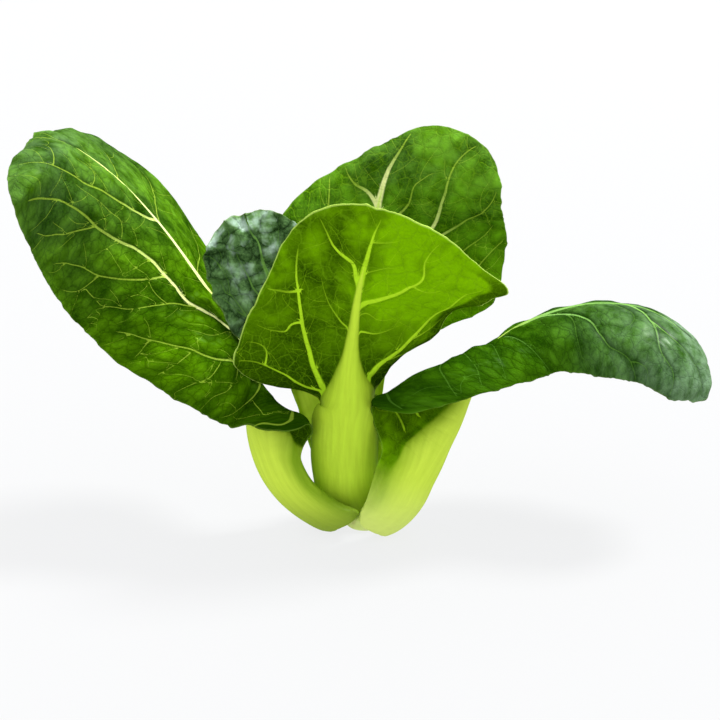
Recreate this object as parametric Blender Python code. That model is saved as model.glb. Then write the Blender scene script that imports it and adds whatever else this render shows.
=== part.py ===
"""A small head of bok choy that stands on its cut stem.

Five grown leaves and two heart leaves come from one short stem. Each grown leaf is a pale, fleshy
stalk that narrows into the midrib, and a thin dark blade around it. All sizes are in millimetres
and are turned into metres when the solids are made. The front is towards -Y, up is +Z and the
middle of the cut face is the origin.

A leaf is laid along its midline. At each share of that length the upper face looks one way, and on
either side a row of the table tells how wide the leaf is, how far the section leans back towards
the stalk, and how much it has bent at the edge of the stalk and at the margin.
"""
import bpy
import numpy as np

MM = 0.001
GAP = 0.3
BLADE_THICKNESS = 0.7
STALK_EDGE_THICKNESS = 0.9
MIDRIB_END = 0.96
LEAST_BLADE_WIDTH = 1.0
LINE_STEPS = 401
BEND_STEPS = 32
BEND_POWER = 1.5
# the waves of a margin fade in over this width of the blade, and towards the middle by this power
WAVE_WIDTH = 10.0
WAVE_POWER = 2.5
# step in share and reach for the direction in which a face looks
LOOK_STEP = 0.004
# share of the length that the margin runs on around the tip, and how far its waves are apart
FAN_RUN = 0.25
WAVE_SHIFT = 0.8
TINY = 0.01

# stem with the flat cut
STEM_RADIUS = 4.4
STEM_HEIGHT = 3.0
STEM_BEVEL = 0.5
STEM_SIDES = 40

# (base colour, roughness)
SKIN_STEM = ((0.62, 0.68, 0.30), 0.55)
SKIN_STALK_BRIGHT = ((0.48, 0.62, 0.10), 0.40)
SKIN_STALK_PALE = ((0.55, 0.66, 0.22), 0.42)
SKIN_BLADE_DARK = ((0.035, 0.16, 0.02), 0.38)
SKIN_BLADE_UNDER = ((0.20, 0.38, 0.03), 0.45)
SKIN_BLADE_BLUE = ((0.02, 0.11, 0.04), 0.32)
SKIN_HEART = ((0.50, 0.62, 0.12), 0.45)

# Rows of a half leaf: share of the length, half-width, lean back, bend at the stalk edge, bend at
# the margin. A positive bend turns the leaf away from its upper face. Angles are in degrees.
LEFT = {
    "line": [(-5.4, -4.0, 2.9), (-11.5, -4.5, 7.5), (-17.3, -4.5, 14.3), (-21.0, -3.0, 22.8),
             (-23.6, 1.0, 30.9), (-26.8, 6.0, 41.1), (-36.2, 10.0, 54.3), (-46.6, 10.0, 69.3),
             (-54.7, 8.0, 79.1), (-62.3, 6.0, 85.8)],
    "upper": [(0.0, (0.5, 0.8, 0.4)), (0.26, (0.45, 0.75, 0.35)), (0.47, (0.75, 0.2, 0.65)),
              (0.7, (0.75, 0.0, 0.65)), (1.0, (0.49, 0.0, 0.74))],
    "near": [(0.0, 6.5, 20, -10, -30), (0.12, 7.5, 45, -10, -30), (0.23, 8.0, 45, -10, -20),
             (0.28, 11.0, 45, -45, 10), (0.31, 17.0, 32, -35, 45), (0.36, 22.0, 40, -10, 30),
             (0.41, 21.0, 52, -10, 45), (0.47, 25.0, 56, 5, 70), (0.53, 33.0, 32, 0, 85),
             (0.58, 35.0, 20, 0, 98), (0.63, 34.0, 8, 12, 108), (0.73, 36.0, -18, 15, 125),
             (0.9, 34.0, -28, 0, 92), (1.0, 33.0, -22, -5, 60), (1.2, 26.5, 0, -5, 55),
             (1.4, 19.0, 0, -4, 56), (1.6, 14.6, 0, -2, 57), (2.0, 10.8, 0, 0, 60)],
    "far": [(0.0, 6.5, 0, -30, -30), (0.23, 7.0, 0, -30, -30), (0.33, 7.5, 10, -30, -10),
            (0.41, 10.0, 15, -10, 5), (0.49, 17.0, 10, 0, 5), (0.58, 25.0, 5, 0, 5),
            (0.7, 29.0, 0, 0, 0), (0.93, 26.0, 0, 0, 10), (1.0, 21.0, 0, 0, 20),
            (1.2, 13.2, 0, 0, 28), (1.4, 10.6, 0, 0, 36), (2.0, 10.8, 0, 0, 60)],
    "stalk": [(0.0, 6.2), (0.12, 7.5), (0.23, 7.0), (0.31, 5.5), (0.38, 3.6), (0.47, 2.4),
              (0.64, 1.6), (0.93, 1.0), (1.0, 0.9)],
    "stalk_thickness": [(0.0, 3.6), (0.12, 4.4), (0.29, 3.8), (0.47, 2.0), (0.7, 1.5), (1.0, 1.2)],
    "near_side": -1, "ripple": (0.45, 5, 0.1), "floor": 0.0,
}
RIGHT = {
    "line": [(1.6, -7.2, 3.0), (5.0, -6.9, 6.6), (9.4, -6.0, 15.1), (15.9, -3.0, 25.9),
             (22.6, 1.0, 35.6), (30.3, 5.0, 43.1), (40.5, 7.0, 48.1), (52.8, 7.0, 50.7),
             (63.7, 5.0, 49.6), (69.0, 4.0, 46.8)],
    "upper": [(0.0, (-0.5, 0.8, 0.4)), (0.26, (-0.45, 0.75, 0.35)), (0.47, (-0.6, 0.25, 0.75)),
              (0.7, (-0.2, 0.0, 1.0)), (1.0, (0.32, 0.0, 0.77))],
    "near": [(0.0, 4.4, 20, -20, -30), (0.05, 6.4, 20, -20, -30), (0.19, 8.4, 10, -35, -30),
             (0.24, 13.0, 10, -60, -10), (0.29, 19.5, 16, -70, 55), (0.34, 27.0, 24, -62, 95),
             (0.38, 29.0, 29, -57, 106), (0.44, 28.0, 30, -50, 102), (0.5, 25.5, 28, -38, 105),
             (0.56, 21.0, 15, -15, 110), (0.64, 19.5, 0, 0, 90), (0.76, 23.0, 0, 0, 85),
             (0.87, 25.0, -8, 0, 85), (1.0, 24.4, -20, 0, 75), (1.2, 22.4, 0, 0, 72),
             (1.6, 19.6, 0, 0, 66), (2.0, 14.2, 0, 0, 60)],
    "far": [(0.0, 4.4, 0, -30, -30), (0.05, 6.2, 0, -30, -30), (0.33, 7.0, 10, -30, -10),
            (0.41, 12.0, 15, -15, -10), (0.49, 19.0, 8, 0, 10), (0.58, 24.0, 5, 12, 32),
            (0.7, 26.0, 0, 20, 48), (0.93, 23.0, 0, 15, 42), (1.0, 20.0, 0, 12, 40),
            (1.4, 17.5, 0, 8, 46), (2.0, 14.2, 0, 0, 60)],
    "stalk": [(0.0, 4.4), (0.05, 6.2), (0.12, 7.0), (0.19, 6.6), (0.26, 5.2), (0.33, 4.2), (0.4, 3.2),
              (0.49, 2.4), (0.64, 1.6), (0.93, 1.0), (1.0, 0.9)],
    "stalk_thickness": [(0.0, 4.2), (0.12, 5.8), (0.29, 5.4), (0.47, 3.0), (0.7, 1.8), (1.0, 1.3)],
    "near_side": 1, "ripple": (0.4, 5, 0.35), "floor": 0.0,
}
FRONT = {
    "line": [(-2.5, -1.2, 3.5), (-4.0, -1.8, 8.0), (-4.5, -2.0, 14.0), (-4.5, -3.5, 24.2),
             (-3.7, -6.0, 34.5), (-2.8, -9.5, 47.2), (-1.5, -12.5, 58.2), (-0.2, -13.0, 65.0)],
    "upper": [(0.0, (0.0, 1.0, 0.0)), (0.6, (0.0, 1.0, 0.0)), (1.0, (0.0, 1.0, 0.12))],
    "near": [(0.0, 4.5, 0, -40, -40), (0.1, 6.5, 0, -35, -35), (0.24, 7.1, 0, -30, -30),
             (0.38, 6.8, 0, -30, -30), (0.44, 6.6, 15, -45, -5), (0.48, 10.0, 10, -20, -10),
             (0.52, 16.0, 10, -10, 0), (0.6, 25.5, 0, 0, 5), (0.67, 24.5, 0, 0, 0),
             (0.77, 22.0, -8, 0, 5), (0.89, 20.0, 0, -15, -5), (1.0, 18.3, 0, -10, -10),
             (1.5, 15.0, 0, -5, 0), (2.0, 12.5, 0, 0, 10)],
    "far": [(0.0, 4.5, 0, -40, -40), (0.1, 6.5, 0, -35, -35), (0.24, 7.1, 0, -30, -30),
            (0.38, 6.8, 0, -30, -30), (0.44, 7.0, -10, -55, -30), (0.52, 10.0, -8, -20, -60),
            (0.6, 14.0, -8, 5, -68), (0.71, 21.0, 0, 0, -58), (0.83, 24.0, 0, -8, -26),
            (0.95, 29.2, 0, -8, -4), (1.0, 31.8, 0, -3, 0), (1.1, 25.6, 0, -3, 1), (1.2, 21.7, 0, -3, 2),
            (1.4, 17.3, 0, -2, 4), (1.6, 14.6, 0, -1, 6), (2.0, 12.5, 0, 0, 10)],
    "stalk": [(0.0, 4.5), (0.1, 6.5), (0.24, 7.1), (0.36, 6.8), (0.44, 5.0), (0.52, 3.6), (0.6, 2.6),
              (0.69, 1.8), (0.89, 1.3), (1.0, 1.0)],
    "stalk_thickness": [(0.0, 2.2), (0.12, 3.4), (0.3, 3.8), (0.54, 2.6), (0.71, 1.7), (1.0, 1.3)],
    "near_side": 1, "ripple": (0.7, 4, 0.2), "floor": 3.3,
}
BACK = {
    "line": [(-1.8, 6.5, 1.0), (-2.9, 7.0, 5.6), (-3.2, 8.0, 15.1), (-2.5, 9.0, 24.5),
             (-1.1, 10.0, 33.8), (0.5, 11.5, 45.3), (1.8, 13.0, 56.7), (2.9, 14.5, 70.7),
             (4.1, 15.3, 75.8)],
    "upper": [(0.0, (0.0, -1.0, 0.2)), (0.6, (0.0, -1.0, 0.3)), (1.0, (0.0, -0.94, 0.49))],
    "near": [(0.0, 5.0, 0, -20, -20), (0.12, 6.0, 0, -25, -25), (0.36, 6.0, 0, -25, -25),
             (0.5, 6.0, 0, -20, -20), (0.6, 14.0, 10, -10, 0), (0.74, 22.0, 0, 0, 10),
             (0.83, 22.0, -8, -15, -8), (0.95, 15.5, -5, -5, 40), (1.0, 12.5, -5, 1, 53),
             (1.4, 9.2, 0, 1, 48), (1.7, 9.4, 0, 0, 44), (2.0, 12.0, 0, 0, 40)],
    "far": [(0.0, 5.0, 0, -20, -20), (0.12, 6.0, 0, -25, -25), (0.36, 6.0, 0, -25, -25),
            (0.5, 6.0, 0, -20, -20), (0.6, 18.0, 0, 0, 0), (0.69, 28.0, 0, 0, 0),
            (0.83, 29.8, -3, -5, 0), (0.95, 27.8, -10, -12, -3), (1.0, 27.2, -15, -15, -3),
            (1.2, 25.6, 0, -12, 6), (1.5, 20.5, 0, -8, 19), (2.0, 12.0, 0, 0, 40)],
    "stalk": [(0.0, 5.0), (0.12, 6.0), (0.3, 6.0), (0.43, 4.6), (0.54, 3.0), (0.65, 2.0),
              (0.83, 1.4), (1.0, 1.0)],
    "stalk_thickness": [(0.0, 3.2), (0.12, 3.8), (0.3, 3.4), (0.54, 2.0), (0.71, 1.5), (1.0, 1.2)],
    "near_side": -1, "ripple": (0.4, 5, 0.6), "floor": 0.0,
}
CRINKLED = {
    "line": [(-3.2, 2.6, 3.5), (-5.0, 3.0, 7.2), (-7.9, 3.5, 15.6), (-12.0, 3.5, 28.9),
             (-16.3, 2.5, 43.4), (-21.0, 2.5, 57.3), (-22.7, 2.7, 62.2)],
    "upper": [(0.0, (0.3, -0.95, 0.2)), (0.6, (0.2, -0.9, 0.3)), (1.0, (0.07, -0.9, 0.3))],
    "near": [(0.0, 3.2, 0, -15, -15), (0.36, 3.6, 0, -20, -20), (0.57, 4.0, 0, -10, -10),
             (0.69, 10.0, -10, -10, -30), (0.79, 13.5, -18, 0, -10), (0.89, 14.0, -20, 10, 10),
             (1.0, 13.0, -22, 0, 0), (1.5, 11.8, 0, 0, 10), (2.0, 10.5, 0, 0, 20)],
    "far": [(0.0, 3.2, 0, -15, -15), (0.36, 3.6, 0, -20, -20), (0.57, 4.0, 0, -10, -10),
            (0.65, 12.0, 0, 0, 0), (0.77, 14.0, 0, 0, 0), (0.89, 13.0, 0, -10, 0),
            (1.0, 11.3, -9, -15, -5), (1.5, 10.8, 0, -7, 8), (2.0, 10.5, 0, 0, 20)],
    "stalk": [(0.0, 3.2), (0.36, 3.6), (0.48, 2.8), (0.6, 1.8), (0.83, 1.1), (1.0, 0.8)],
    "stalk_thickness": [(0.0, 1.8), (0.24, 2.2), (0.54, 1.6), (0.83, 1.2), (1.0, 1.1)],
    "near_side": -1, "ripple": (1.3, 8, 0.0), "floor": 3.3,
}
HEART_OUTER = {
    "line": [(2.0, 4.0, 3.5), (2.2, 4.7, 12.0), (2.0, 4.6, 22.0), (1.8, 4.0, 26.9)],
    "upper": [(0.0, (0.0, -1.0, 0.1)), (1.0, (0.0, -1.0, -0.15))],
    "near": [(0.0, 1.8, 0, -10, -10), (0.41, 1.8, 0, -20, -20), (0.71, 2.9, 0, -20, -30),
             (1.0, 2.6, 0, -20, -30), (1.5, 3.2, 0, -10, -15), (2.0, 3.5, 0, 0, 0)],
    "far": [(0.0, 1.8, 0, -10, -10), (0.41, 1.8, 0, -20, -20), (0.71, 2.9, 0, -20, -30),
            (1.0, 2.6, 0, -20, -30), (1.5, 3.2, 0, -10, -15), (2.0, 3.5, 0, 0, 0)],
    "stalk": [(0.0, 1.2), (1.0, 0.7)],
    "stalk_thickness": [(0.0, 1.2), (1.0, 0.9)],
    "near_side": -1, "ripple": (0.3, 3, 0.0), "floor": 3.3,
}
HEART_INNER = {
    "line": [(1.4, 1.5, 3.5), (1.5, 1.7, 9.0), (1.5, 1.7, 16.0), (1.4, 1.8, 19.2)],
    "upper": [(0.0, (0.0, 1.0, 0.1)), (1.0, (0.0, 1.0, -0.15))],
    "near": [(0.0, 1.5, 0, -10, -10), (0.41, 1.5, 0, -20, -20), (0.71, 2.4, 0, -20, -30),
             (1.0, 2.2, 0, -20, -30), (1.5, 2.6, 0, -10, -15), (2.0, 2.8, 0, 0, 0)],
    "far": [(0.0, 1.5, 0, -10, -10), (0.41, 1.5, 0, -20, -20), (0.71, 2.4, 0, -20, -30),
            (1.0, 2.2, 0, -20, -30), (1.5, 2.6, 0, -10, -15), (2.0, 2.8, 0, 0, 0)],
    "stalk": [(0.0, 1.0), (1.0, 0.6)],
    "stalk_thickness": [(0.0, 1.1), (1.0, 0.9)],
    "near_side": 1, "ripple": (0.3, 3, 0.3), "floor": 3.3,
}

# shares of the length at which every leaf is cut into rows, and the widths of its columns
ROOT_ROWS = np.linspace(0.0, 0.24, 6)
SHOULDER_ROWS = np.linspace(0.265, 0.6, 13)
BLADE_ROWS = np.linspace(0.66, MIDRIB_END, 6)
TIP_ROWS = np.array([1.0, 1.2, 1.4, 1.6, 1.8, 2.0])
BLADE_COLUMNS = np.array([0.0, 0.18, 0.38, 0.58, 0.78, 1.0])
HEART_ROWS = np.linspace(0.0, 0.9, 9)
HEART_COLUMNS = np.array([0.0, 0.35, 0.7, 1.0])
STALK_COLUMNS = np.array([-1.0, -0.7, -0.35, 0.0, 0.35, 0.7, 1.0])


def hermite(x, y, slope, where):
    """Values between stations x, where the curve has the values y and the slopes given there."""
    step = np.diff(x)
    i = np.clip(np.searchsorted(x, where, side="right") - 1, 0, len(step) - 1)
    t = (where - x[i]) / step[i]
    return (
        (2 * t**3 - 3 * t**2 + 1) * y[i]
        + (t**3 - 2 * t**2 + t) * step[i] * slope[i]
        + (3 * t**2 - 2 * t**3) * y[i + 1]
        + (t**3 - t**2) * step[i] * slope[i + 1]
    )


def through(stations, share):
    """A value that runs smoothly through (share, value) stations, without overshooting them."""
    x, y = np.array(stations, float).T
    rise = np.diff(y) / np.diff(x)
    both = rise[:-1] * rise[1:]
    mean = 2 * both / np.where(both > 0, rise[:-1] + rise[1:], 1)
    slope = np.concatenate([rise[:1], np.where(both > 0, mean, 0), rise[-1:]])
    return hermite(x, y, slope, np.clip(share, x[0], x[-1]))


def smooth_line(points):
    """A curve through the points, cut into even steps of its length. Its slope at a point is that of
    the circle-like arc through the point and its two neighbours."""
    p = np.array(points, float)
    chord = np.linalg.norm(np.diff(p, axis=0), axis=1)
    rise = np.diff(p, axis=0) / chord[:, None]
    share = (chord[:-1] / (chord[:-1] + chord[1:]))[:, None]
    inner = rise[:-1] * (1 - share) + rise[1:] * share
    slope = np.vstack([2 * rise[0] - inner[0], inner, 2 * rise[-1] - inner[-1]])
    station = np.concatenate([[0], np.cumsum(chord)])
    where = np.linspace(0, station[-1], LINE_STEPS)
    q = np.column_stack([hermite(station, p[:, k], slope[:, k], where) for k in range(3)])
    run = np.concatenate([[0], np.cumsum(np.linalg.norm(np.diff(q, axis=0), axis=1))])
    even = np.linspace(0, run[-1], LINE_STEPS)
    return np.column_stack([np.interp(even, run, q[:, k]) for k in range(3)]), run[-1]


def unit(v):
    """Vectors of length one."""
    return v / np.linalg.norm(v, axis=-1, keepdims=True)


class Leaf:
    """The upper face of one leaf, as a function of the share of its length and the reach across it."""

    def __init__(self, plan):
        self.plan = plan
        self.line, self.length = smooth_line(plan["line"])
        self.share = np.linspace(0, 1, len(self.line))
        self.tangent = unit(np.gradient(self.line, axis=0))
        looks = [through([(s, v[k]) for s, v in plan["upper"]], self.share) for k in range(3)]
        upper = np.column_stack(looks)
        self.upper = unit(upper - (upper * self.tangent).sum(1, keepdims=True) * self.tangent)
        self.side = np.cross(self.tangent, self.upper)

    def row(self, share, side, column):
        """One column of the table, for the half of the leaf on the given side (+1 or -1)."""
        near = through([(r[0], r[column]) for r in self.plan["near"]], share)
        far = through([(r[0], r[column]) for r in self.plan["far"]], share)
        return np.where(side == self.plan["near_side"], near, far)

    def stalk(self, share):
        """Half-width of the stalk or midrib."""
        return through(self.plan["stalk"], share)

    def half_width(self, share, side):
        """Half-width of the whole leaf; beyond the midline it is the reach of the fan at the tip."""
        return np.maximum(self.row(share, side, 1), self.stalk(share))

    def at(self, table, share):
        """A row of a table along the midline."""
        return np.column_stack([np.interp(share, self.share, table[:, k]) for k in range(3)])

    def surface(self, share, reach):
        """Points of the upper face; reach runs from -1 at one margin to 1 at the other."""
        side = np.where(reach >= 0, 1, -1)
        width = self.half_width(share, side)
        distance = np.abs(reach) * width
        fan = np.clip(share - 1, 0, 1)
        forward = np.radians(-self.row(np.minimum(share, 1), side, 2))
        forward = (forward + (np.pi / 2 - forward) * fan)[:, None]
        first = self.row(share, side, 3)[:, None]
        last = self.row(share, side, 4)[:, None]
        stalk = self.stalk(share)[:, None]
        steps = distance[:, None] * (np.arange(BEND_STEPS) + 0.5) / BEND_STEPS
        beyond = np.clip((steps - stalk) / np.maximum(width[:, None] - stalk, TINY), 0, 1)
        angle = np.radians(first * np.clip(steps / stalk, 0, 1) + (last - first) * beyond**BEND_POWER)
        out = np.cos(angle).mean(1) * distance
        down = np.sin(angle).mean(1) * distance
        height, count, phase = self.plan["ripple"]
        run = np.minimum(share, 1) + FAN_RUN * fan
        wave = np.sin(2 * np.pi * (count * run + phase) + WAVE_SHIFT * side * (2 - share))
        blade = np.clip((width - stalk[:, 0]) / WAVE_WIDTH, 0, 1)
        ripple = height * np.abs(reach) ** WAVE_POWER * wave * blade
        upper = self.at(self.upper, share)
        across = side[:, None] * np.cos(forward) * self.at(self.side, share)
        across = across + np.sin(forward) * self.at(self.tangent, share)
        margin = angle[:, -1:]
        shift = ripple[:, None] * (np.cos(margin) * upper + np.sin(margin) * across)
        return self.at(self.line, share) + out[:, None] * across - down[:, None] * upper + shift

    def looks(self, share, reach):
        """Directions in which the upper face looks."""
        low = np.clip(share - LOOK_STEP, 0, 2)
        high = np.clip(share + LOOK_STEP, 0, 2)
        left = np.clip(reach - LOOK_STEP, -1, 1)
        right = np.clip(reach + LOOK_STEP, -1, 1)
        along = self.surface(high, reach) - self.surface(low, reach)
        across = self.surface(share, right) - self.surface(share, left)
        return unit(np.cross(across, along))


def thick_solid(upper, lower, triangles):
    """Closes two like-triangulated faces with a wall along every open edge."""
    count = len(upper)
    faces = [tuple(t) for t in triangles]
    faces += [(a + count, c + count, b + count) for a, b, c in triangles]
    edges = {}
    for a, b, c in triangles:
        for edge in ((a, b), (b, c), (c, a)):
            edges[edge] = True
    for a, b in edges:
        if (b, a) not in edges:
            faces.append((b, a, a + count))
            faces.append((b, a + count, b + count))
    return np.vstack([upper, lower]), faces


def add_object(name, points, faces, skin):
    """A named solid with its own material."""
    mesh = bpy.data.meshes.new(name)
    mesh.from_pydata((points * MM).tolist(), [], faces)
    mesh.update()
    colour, roughness = skin
    material = bpy.data.materials.new(name)
    material.use_nodes = True
    shader = material.node_tree.nodes["Principled BSDF"]
    shader.inputs["Base Color"].default_value = (*colour, 1.0)
    shader.inputs["Roughness"].default_value = roughness
    shader.inputs["Metallic"].default_value = 0.0
    mesh.materials.append(material)
    bpy.context.scene.collection.objects.link(bpy.data.objects.new(name, mesh))


def grid_triangles(rows, columns):
    """Triangles of a grid of points, all with the same diagonal."""
    i, j = np.meshgrid(np.arange(rows - 1), np.arange(columns - 1), indexing="ij")
    a = (i * columns + j).ravel()
    b = a + columns
    return np.concatenate([np.stack([a, a + 1, b + 1], 1), np.stack([a, b + 1, b], 1)])


def raise_to(points, floor):
    """Points that would sink below the floor of a leaf are cut level with it."""
    points[:, 2] = np.maximum(points[:, 2], floor)
    return points


def add_stalk(leaf, name, skin):
    """The fleshy stalk and midrib, thick in the middle and thin at its edges."""
    rows = np.concatenate([ROOT_ROWS, SHOULDER_ROWS, BLADE_ROWS])
    share, column = (v.ravel() for v in np.meshgrid(rows, STALK_COLUMNS, indexing="ij"))
    side = np.where(column >= 0, 1, -1)
    reach = column * np.minimum(leaf.stalk(share) / leaf.half_width(share, side), 1)
    upper = leaf.surface(share, reach)
    middle = through(leaf.plan["stalk_thickness"], share)
    depth = STALK_EDGE_THICKNESS + (middle - STALK_EDGE_THICKNESS) * (1 - column**2)
    lower = upper - depth[:, None] * leaf.looks(share, reach)
    triangles = grid_triangles(len(rows), len(STALK_COLUMNS))
    floor = leaf.plan["floor"]
    points, faces = thick_solid(raise_to(upper, floor + GAP), raise_to(lower, floor), triangles)
    add_object(name, points, faces, skin)


def half_blade(leaf, side, rows, begins, columns):
    """Shares and reaches of one half of a blade, with the number that each grid point is kept under."""
    reach = begins[:, None] + (1 - begins[:, None]) * columns
    number = np.arange(reach.size).reshape(reach.shape)
    # the rows of the fan at the tip all start from the end of the midline
    number[rows > 1, 0] = number[np.searchsorted(rows, 1.0), 0]
    return np.repeat(rows, len(columns)), side * reach.ravel(), number


def sheet(halves, joined):
    """Joins two half blades into one triangulated sheet; their last joined rows share the middle."""
    (share_a, reach_a, number_a), (share_b, reach_b, number_b) = halves
    number_b = number_b + len(share_a)
    number_b[-joined:, 0] = number_a[-joined:, 0]
    number_b[-1] = number_a[-1]
    triangles = []
    for number, turn in ((number_a, 1), (number_b, -1)):
        a, b, c, d = number[:-1, :-1], number[:-1, 1:], number[1:, 1:], number[1:, :-1]
        for three in ((a, b, c), (a, c, d)):
            triangles.append(np.stack([v.ravel() for v in three], 1)[:, ::turn])
    triangles = np.concatenate(triangles)
    flat = (triangles == np.roll(triangles, 1, 1)).any(1)
    triangles = triangles[~flat]
    kept, renumbered = np.unique(triangles, return_inverse=True)
    share = np.concatenate([share_a, share_b])[kept]
    reach = np.concatenate([reach_a, reach_b])[kept]
    return share, reach, renumbered.reshape(triangles.shape)


def add_blade(leaf, name, skin):
    """The thin blade: two halves beside the midrib that join beyond its end."""
    beside = np.concatenate([ROOT_ROWS, SHOULDER_ROWS, BLADE_ROWS])
    halves = []
    for side in (1, -1):
        width = leaf.half_width(beside, np.full(len(beside), side))
        inner = leaf.stalk(beside) + GAP
        start = np.nonzero(width - inner > LEAST_BLADE_WIDTH)[0][0]
        rows = np.concatenate([beside[start:], TIP_ROWS])
        begins = np.concatenate([inner[start:] / width[start:], np.zeros(len(TIP_ROWS))])
        halves.append(half_blade(leaf, side, rows, begins, BLADE_COLUMNS))
    share, reach, triangles = sheet(halves, len(TIP_ROWS))
    upper = leaf.surface(share, reach)
    lower = upper - BLADE_THICKNESS * leaf.looks(share, reach)
    points, faces = thick_solid(upper, lower, triangles)
    add_object(name, points, faces, skin)


def add_whole_leaf(leaf, name, skin):
    """A small heart leaf, blade and midrib in one."""
    rows = np.concatenate([HEART_ROWS, TIP_ROWS])
    halves = [half_blade(leaf, side, rows, np.zeros(len(rows)), HEART_COLUMNS) for side in (1, -1)]
    share, reach, triangles = sheet(halves, len(rows))
    upper = leaf.surface(share, reach)
    middle = through(leaf.plan["stalk_thickness"], share)
    depth = BLADE_THICKNESS + (middle - BLADE_THICKNESS) * (1 - np.abs(reach)) ** 2
    lower = upper - depth[:, None] * leaf.looks(share, reach)
    floor = leaf.plan["floor"]
    points, faces = thick_solid(raise_to(upper, floor), raise_to(lower, floor), triangles)
    add_object(name, points, faces, skin)


def add_stem():
    """The short stem, turned about the upright axis, with its flat cut at the bottom."""
    turn = np.arange(STEM_SIDES) * 2 * np.pi / STEM_SIDES
    rings = [(STEM_RADIUS - STEM_BEVEL, 0.0), (STEM_RADIUS, STEM_BEVEL),
             (STEM_RADIUS, STEM_HEIGHT - STEM_BEVEL), (STEM_RADIUS - STEM_BEVEL, STEM_HEIGHT)]
    points = [(0.0, 0.0, 0.0)]
    for radius, height in rings:
        points += [(radius * np.cos(a), radius * np.sin(a), height) for a in turn]
    points.append((0.0, 0.0, STEM_HEIGHT))
    top = len(points) - 1
    faces = []
    for k in range(STEM_SIDES):
        n = (k + 1) % STEM_SIDES
        faces.append((0, 1 + n, 1 + k))
        for ring in range(len(rings) - 1):
            low = 1 + ring * STEM_SIDES
            high = low + STEM_SIDES
            faces.append((low + k, low + n, high + n))
            faces.append((low + k, high + n, high + k))
        high = 1 + (len(rings) - 1) * STEM_SIDES
        faces.append((high + k, high + n, top))
    add_object("stem_base", np.array(points), faces, SKIN_STEM)


GROWN = (
    ("left_leaf", LEFT, SKIN_STALK_BRIGHT, SKIN_BLADE_DARK),
    ("right_leaf", RIGHT, SKIN_STALK_BRIGHT, SKIN_BLADE_DARK),
    ("front_leaf", FRONT, SKIN_STALK_BRIGHT, SKIN_BLADE_UNDER),
    ("back_leaf", BACK, SKIN_STALK_PALE, SKIN_BLADE_DARK),
    ("crinkled_leaf", CRINKLED, SKIN_STALK_PALE, SKIN_BLADE_BLUE),
)

for existing in list(bpy.data.objects):
    bpy.data.objects.remove(existing)

add_stem()
for leaf_name, leaf_plan, stalk_skin, blade_skin in GROWN:
    grown = Leaf(leaf_plan)
    add_stalk(grown, leaf_name + "_stalk", stalk_skin)
    add_blade(grown, leaf_name + "_blade", blade_skin)
add_whole_leaf(Leaf(HEART_OUTER), "outer_heart_leaf", SKIN_HEART)
add_whole_leaf(Leaf(HEART_INNER), "inner_heart_leaf", SKIN_HEART)
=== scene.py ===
# %% [markdown]
# # A small head of bok choy
#
# Bok choy is a rosette: every leaf starts at one short stem, first as a pale fleshy stalk, which
# thins into the midrib of a dark blade. The head stands on the flat cut of its stem. This lesson
# dresses a plain solid model of it. Each leaf is laid again along the same midline with the same
# widths and bends, but on a fine grid, and gets what the plain solid lacks: veins that are raised
# underneath and pressed in on top, the cushions of blade between them, a thin uneven margin, and
# skins that tell the glossy top from the matt underside.

# %% Load the solid model
from functools import partialmethod

import bpy
import numpy as np
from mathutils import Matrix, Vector


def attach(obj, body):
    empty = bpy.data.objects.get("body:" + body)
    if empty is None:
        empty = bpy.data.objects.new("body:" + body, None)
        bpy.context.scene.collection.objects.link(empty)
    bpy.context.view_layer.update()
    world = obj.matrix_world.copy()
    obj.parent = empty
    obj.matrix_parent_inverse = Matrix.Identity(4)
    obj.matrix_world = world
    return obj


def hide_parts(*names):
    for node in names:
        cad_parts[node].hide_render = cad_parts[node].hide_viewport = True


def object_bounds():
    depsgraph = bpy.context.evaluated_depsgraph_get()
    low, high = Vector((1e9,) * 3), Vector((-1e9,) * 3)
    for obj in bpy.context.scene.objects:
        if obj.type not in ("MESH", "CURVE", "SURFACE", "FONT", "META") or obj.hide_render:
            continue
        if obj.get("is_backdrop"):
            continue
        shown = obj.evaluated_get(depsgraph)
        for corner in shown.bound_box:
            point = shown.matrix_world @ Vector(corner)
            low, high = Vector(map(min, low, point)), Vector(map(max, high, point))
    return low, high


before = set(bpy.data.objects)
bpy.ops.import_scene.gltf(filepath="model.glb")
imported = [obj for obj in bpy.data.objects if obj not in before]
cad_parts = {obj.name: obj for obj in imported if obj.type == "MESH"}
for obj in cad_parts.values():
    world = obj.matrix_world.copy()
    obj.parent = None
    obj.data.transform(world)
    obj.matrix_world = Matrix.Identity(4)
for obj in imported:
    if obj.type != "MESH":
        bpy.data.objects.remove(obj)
cad_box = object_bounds()
MM = 0.001
print("solids in the frame:", ", ".join(sorted(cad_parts)))

# %% [markdown]
# ## The plan of each leaf
#
# A leaf that was measured is easiest to keep as short tables in millimetres and degrees.
# The midline is a curve through a few points. The other tables go by the share of its length, and
# shares from 1 to 2 turn round its end like a fan and give the rounded tip. The values are those of
# the solid model, so the fine leaf keeps its form.

# %% Plans of the leaves
def table(text):
    """Rows of numbers. Commas and line ends part the rows, and spaces the numbers in a row."""
    rows = text.strip().replace("\n", ",").split(",")
    return np.array([[float(number) for number in row.split()] for row in rows])


def plan(near_side, ripple, floor, **tables):
    """One leaf, with shares in hundredths. Near and far are its two halves, and near_side says on
    which side the near one is. Each row has a share, the half-width, how far the section leans
    back towards the stalk, and how much it has bent at the edge of the stalk and at the margin.
    Without a far table both are alike. Line has points, upper a share and the way the upper face
    looks, and stalk and thickness a share and the stalk's half-width or thickness. Ripple is
    (height, count, phase) at the margin, and nothing of the leaf goes below floor."""
    tables = {key: table(text) for key, text in tables.items()}
    for key, rows in tables.items():
        if key != "line":
            rows[:, 0] /= 100
    tables.setdefault("far", tables["near"])
    return dict(tables, near_side=near_side, ripple=ripple, floor=floor)


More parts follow.
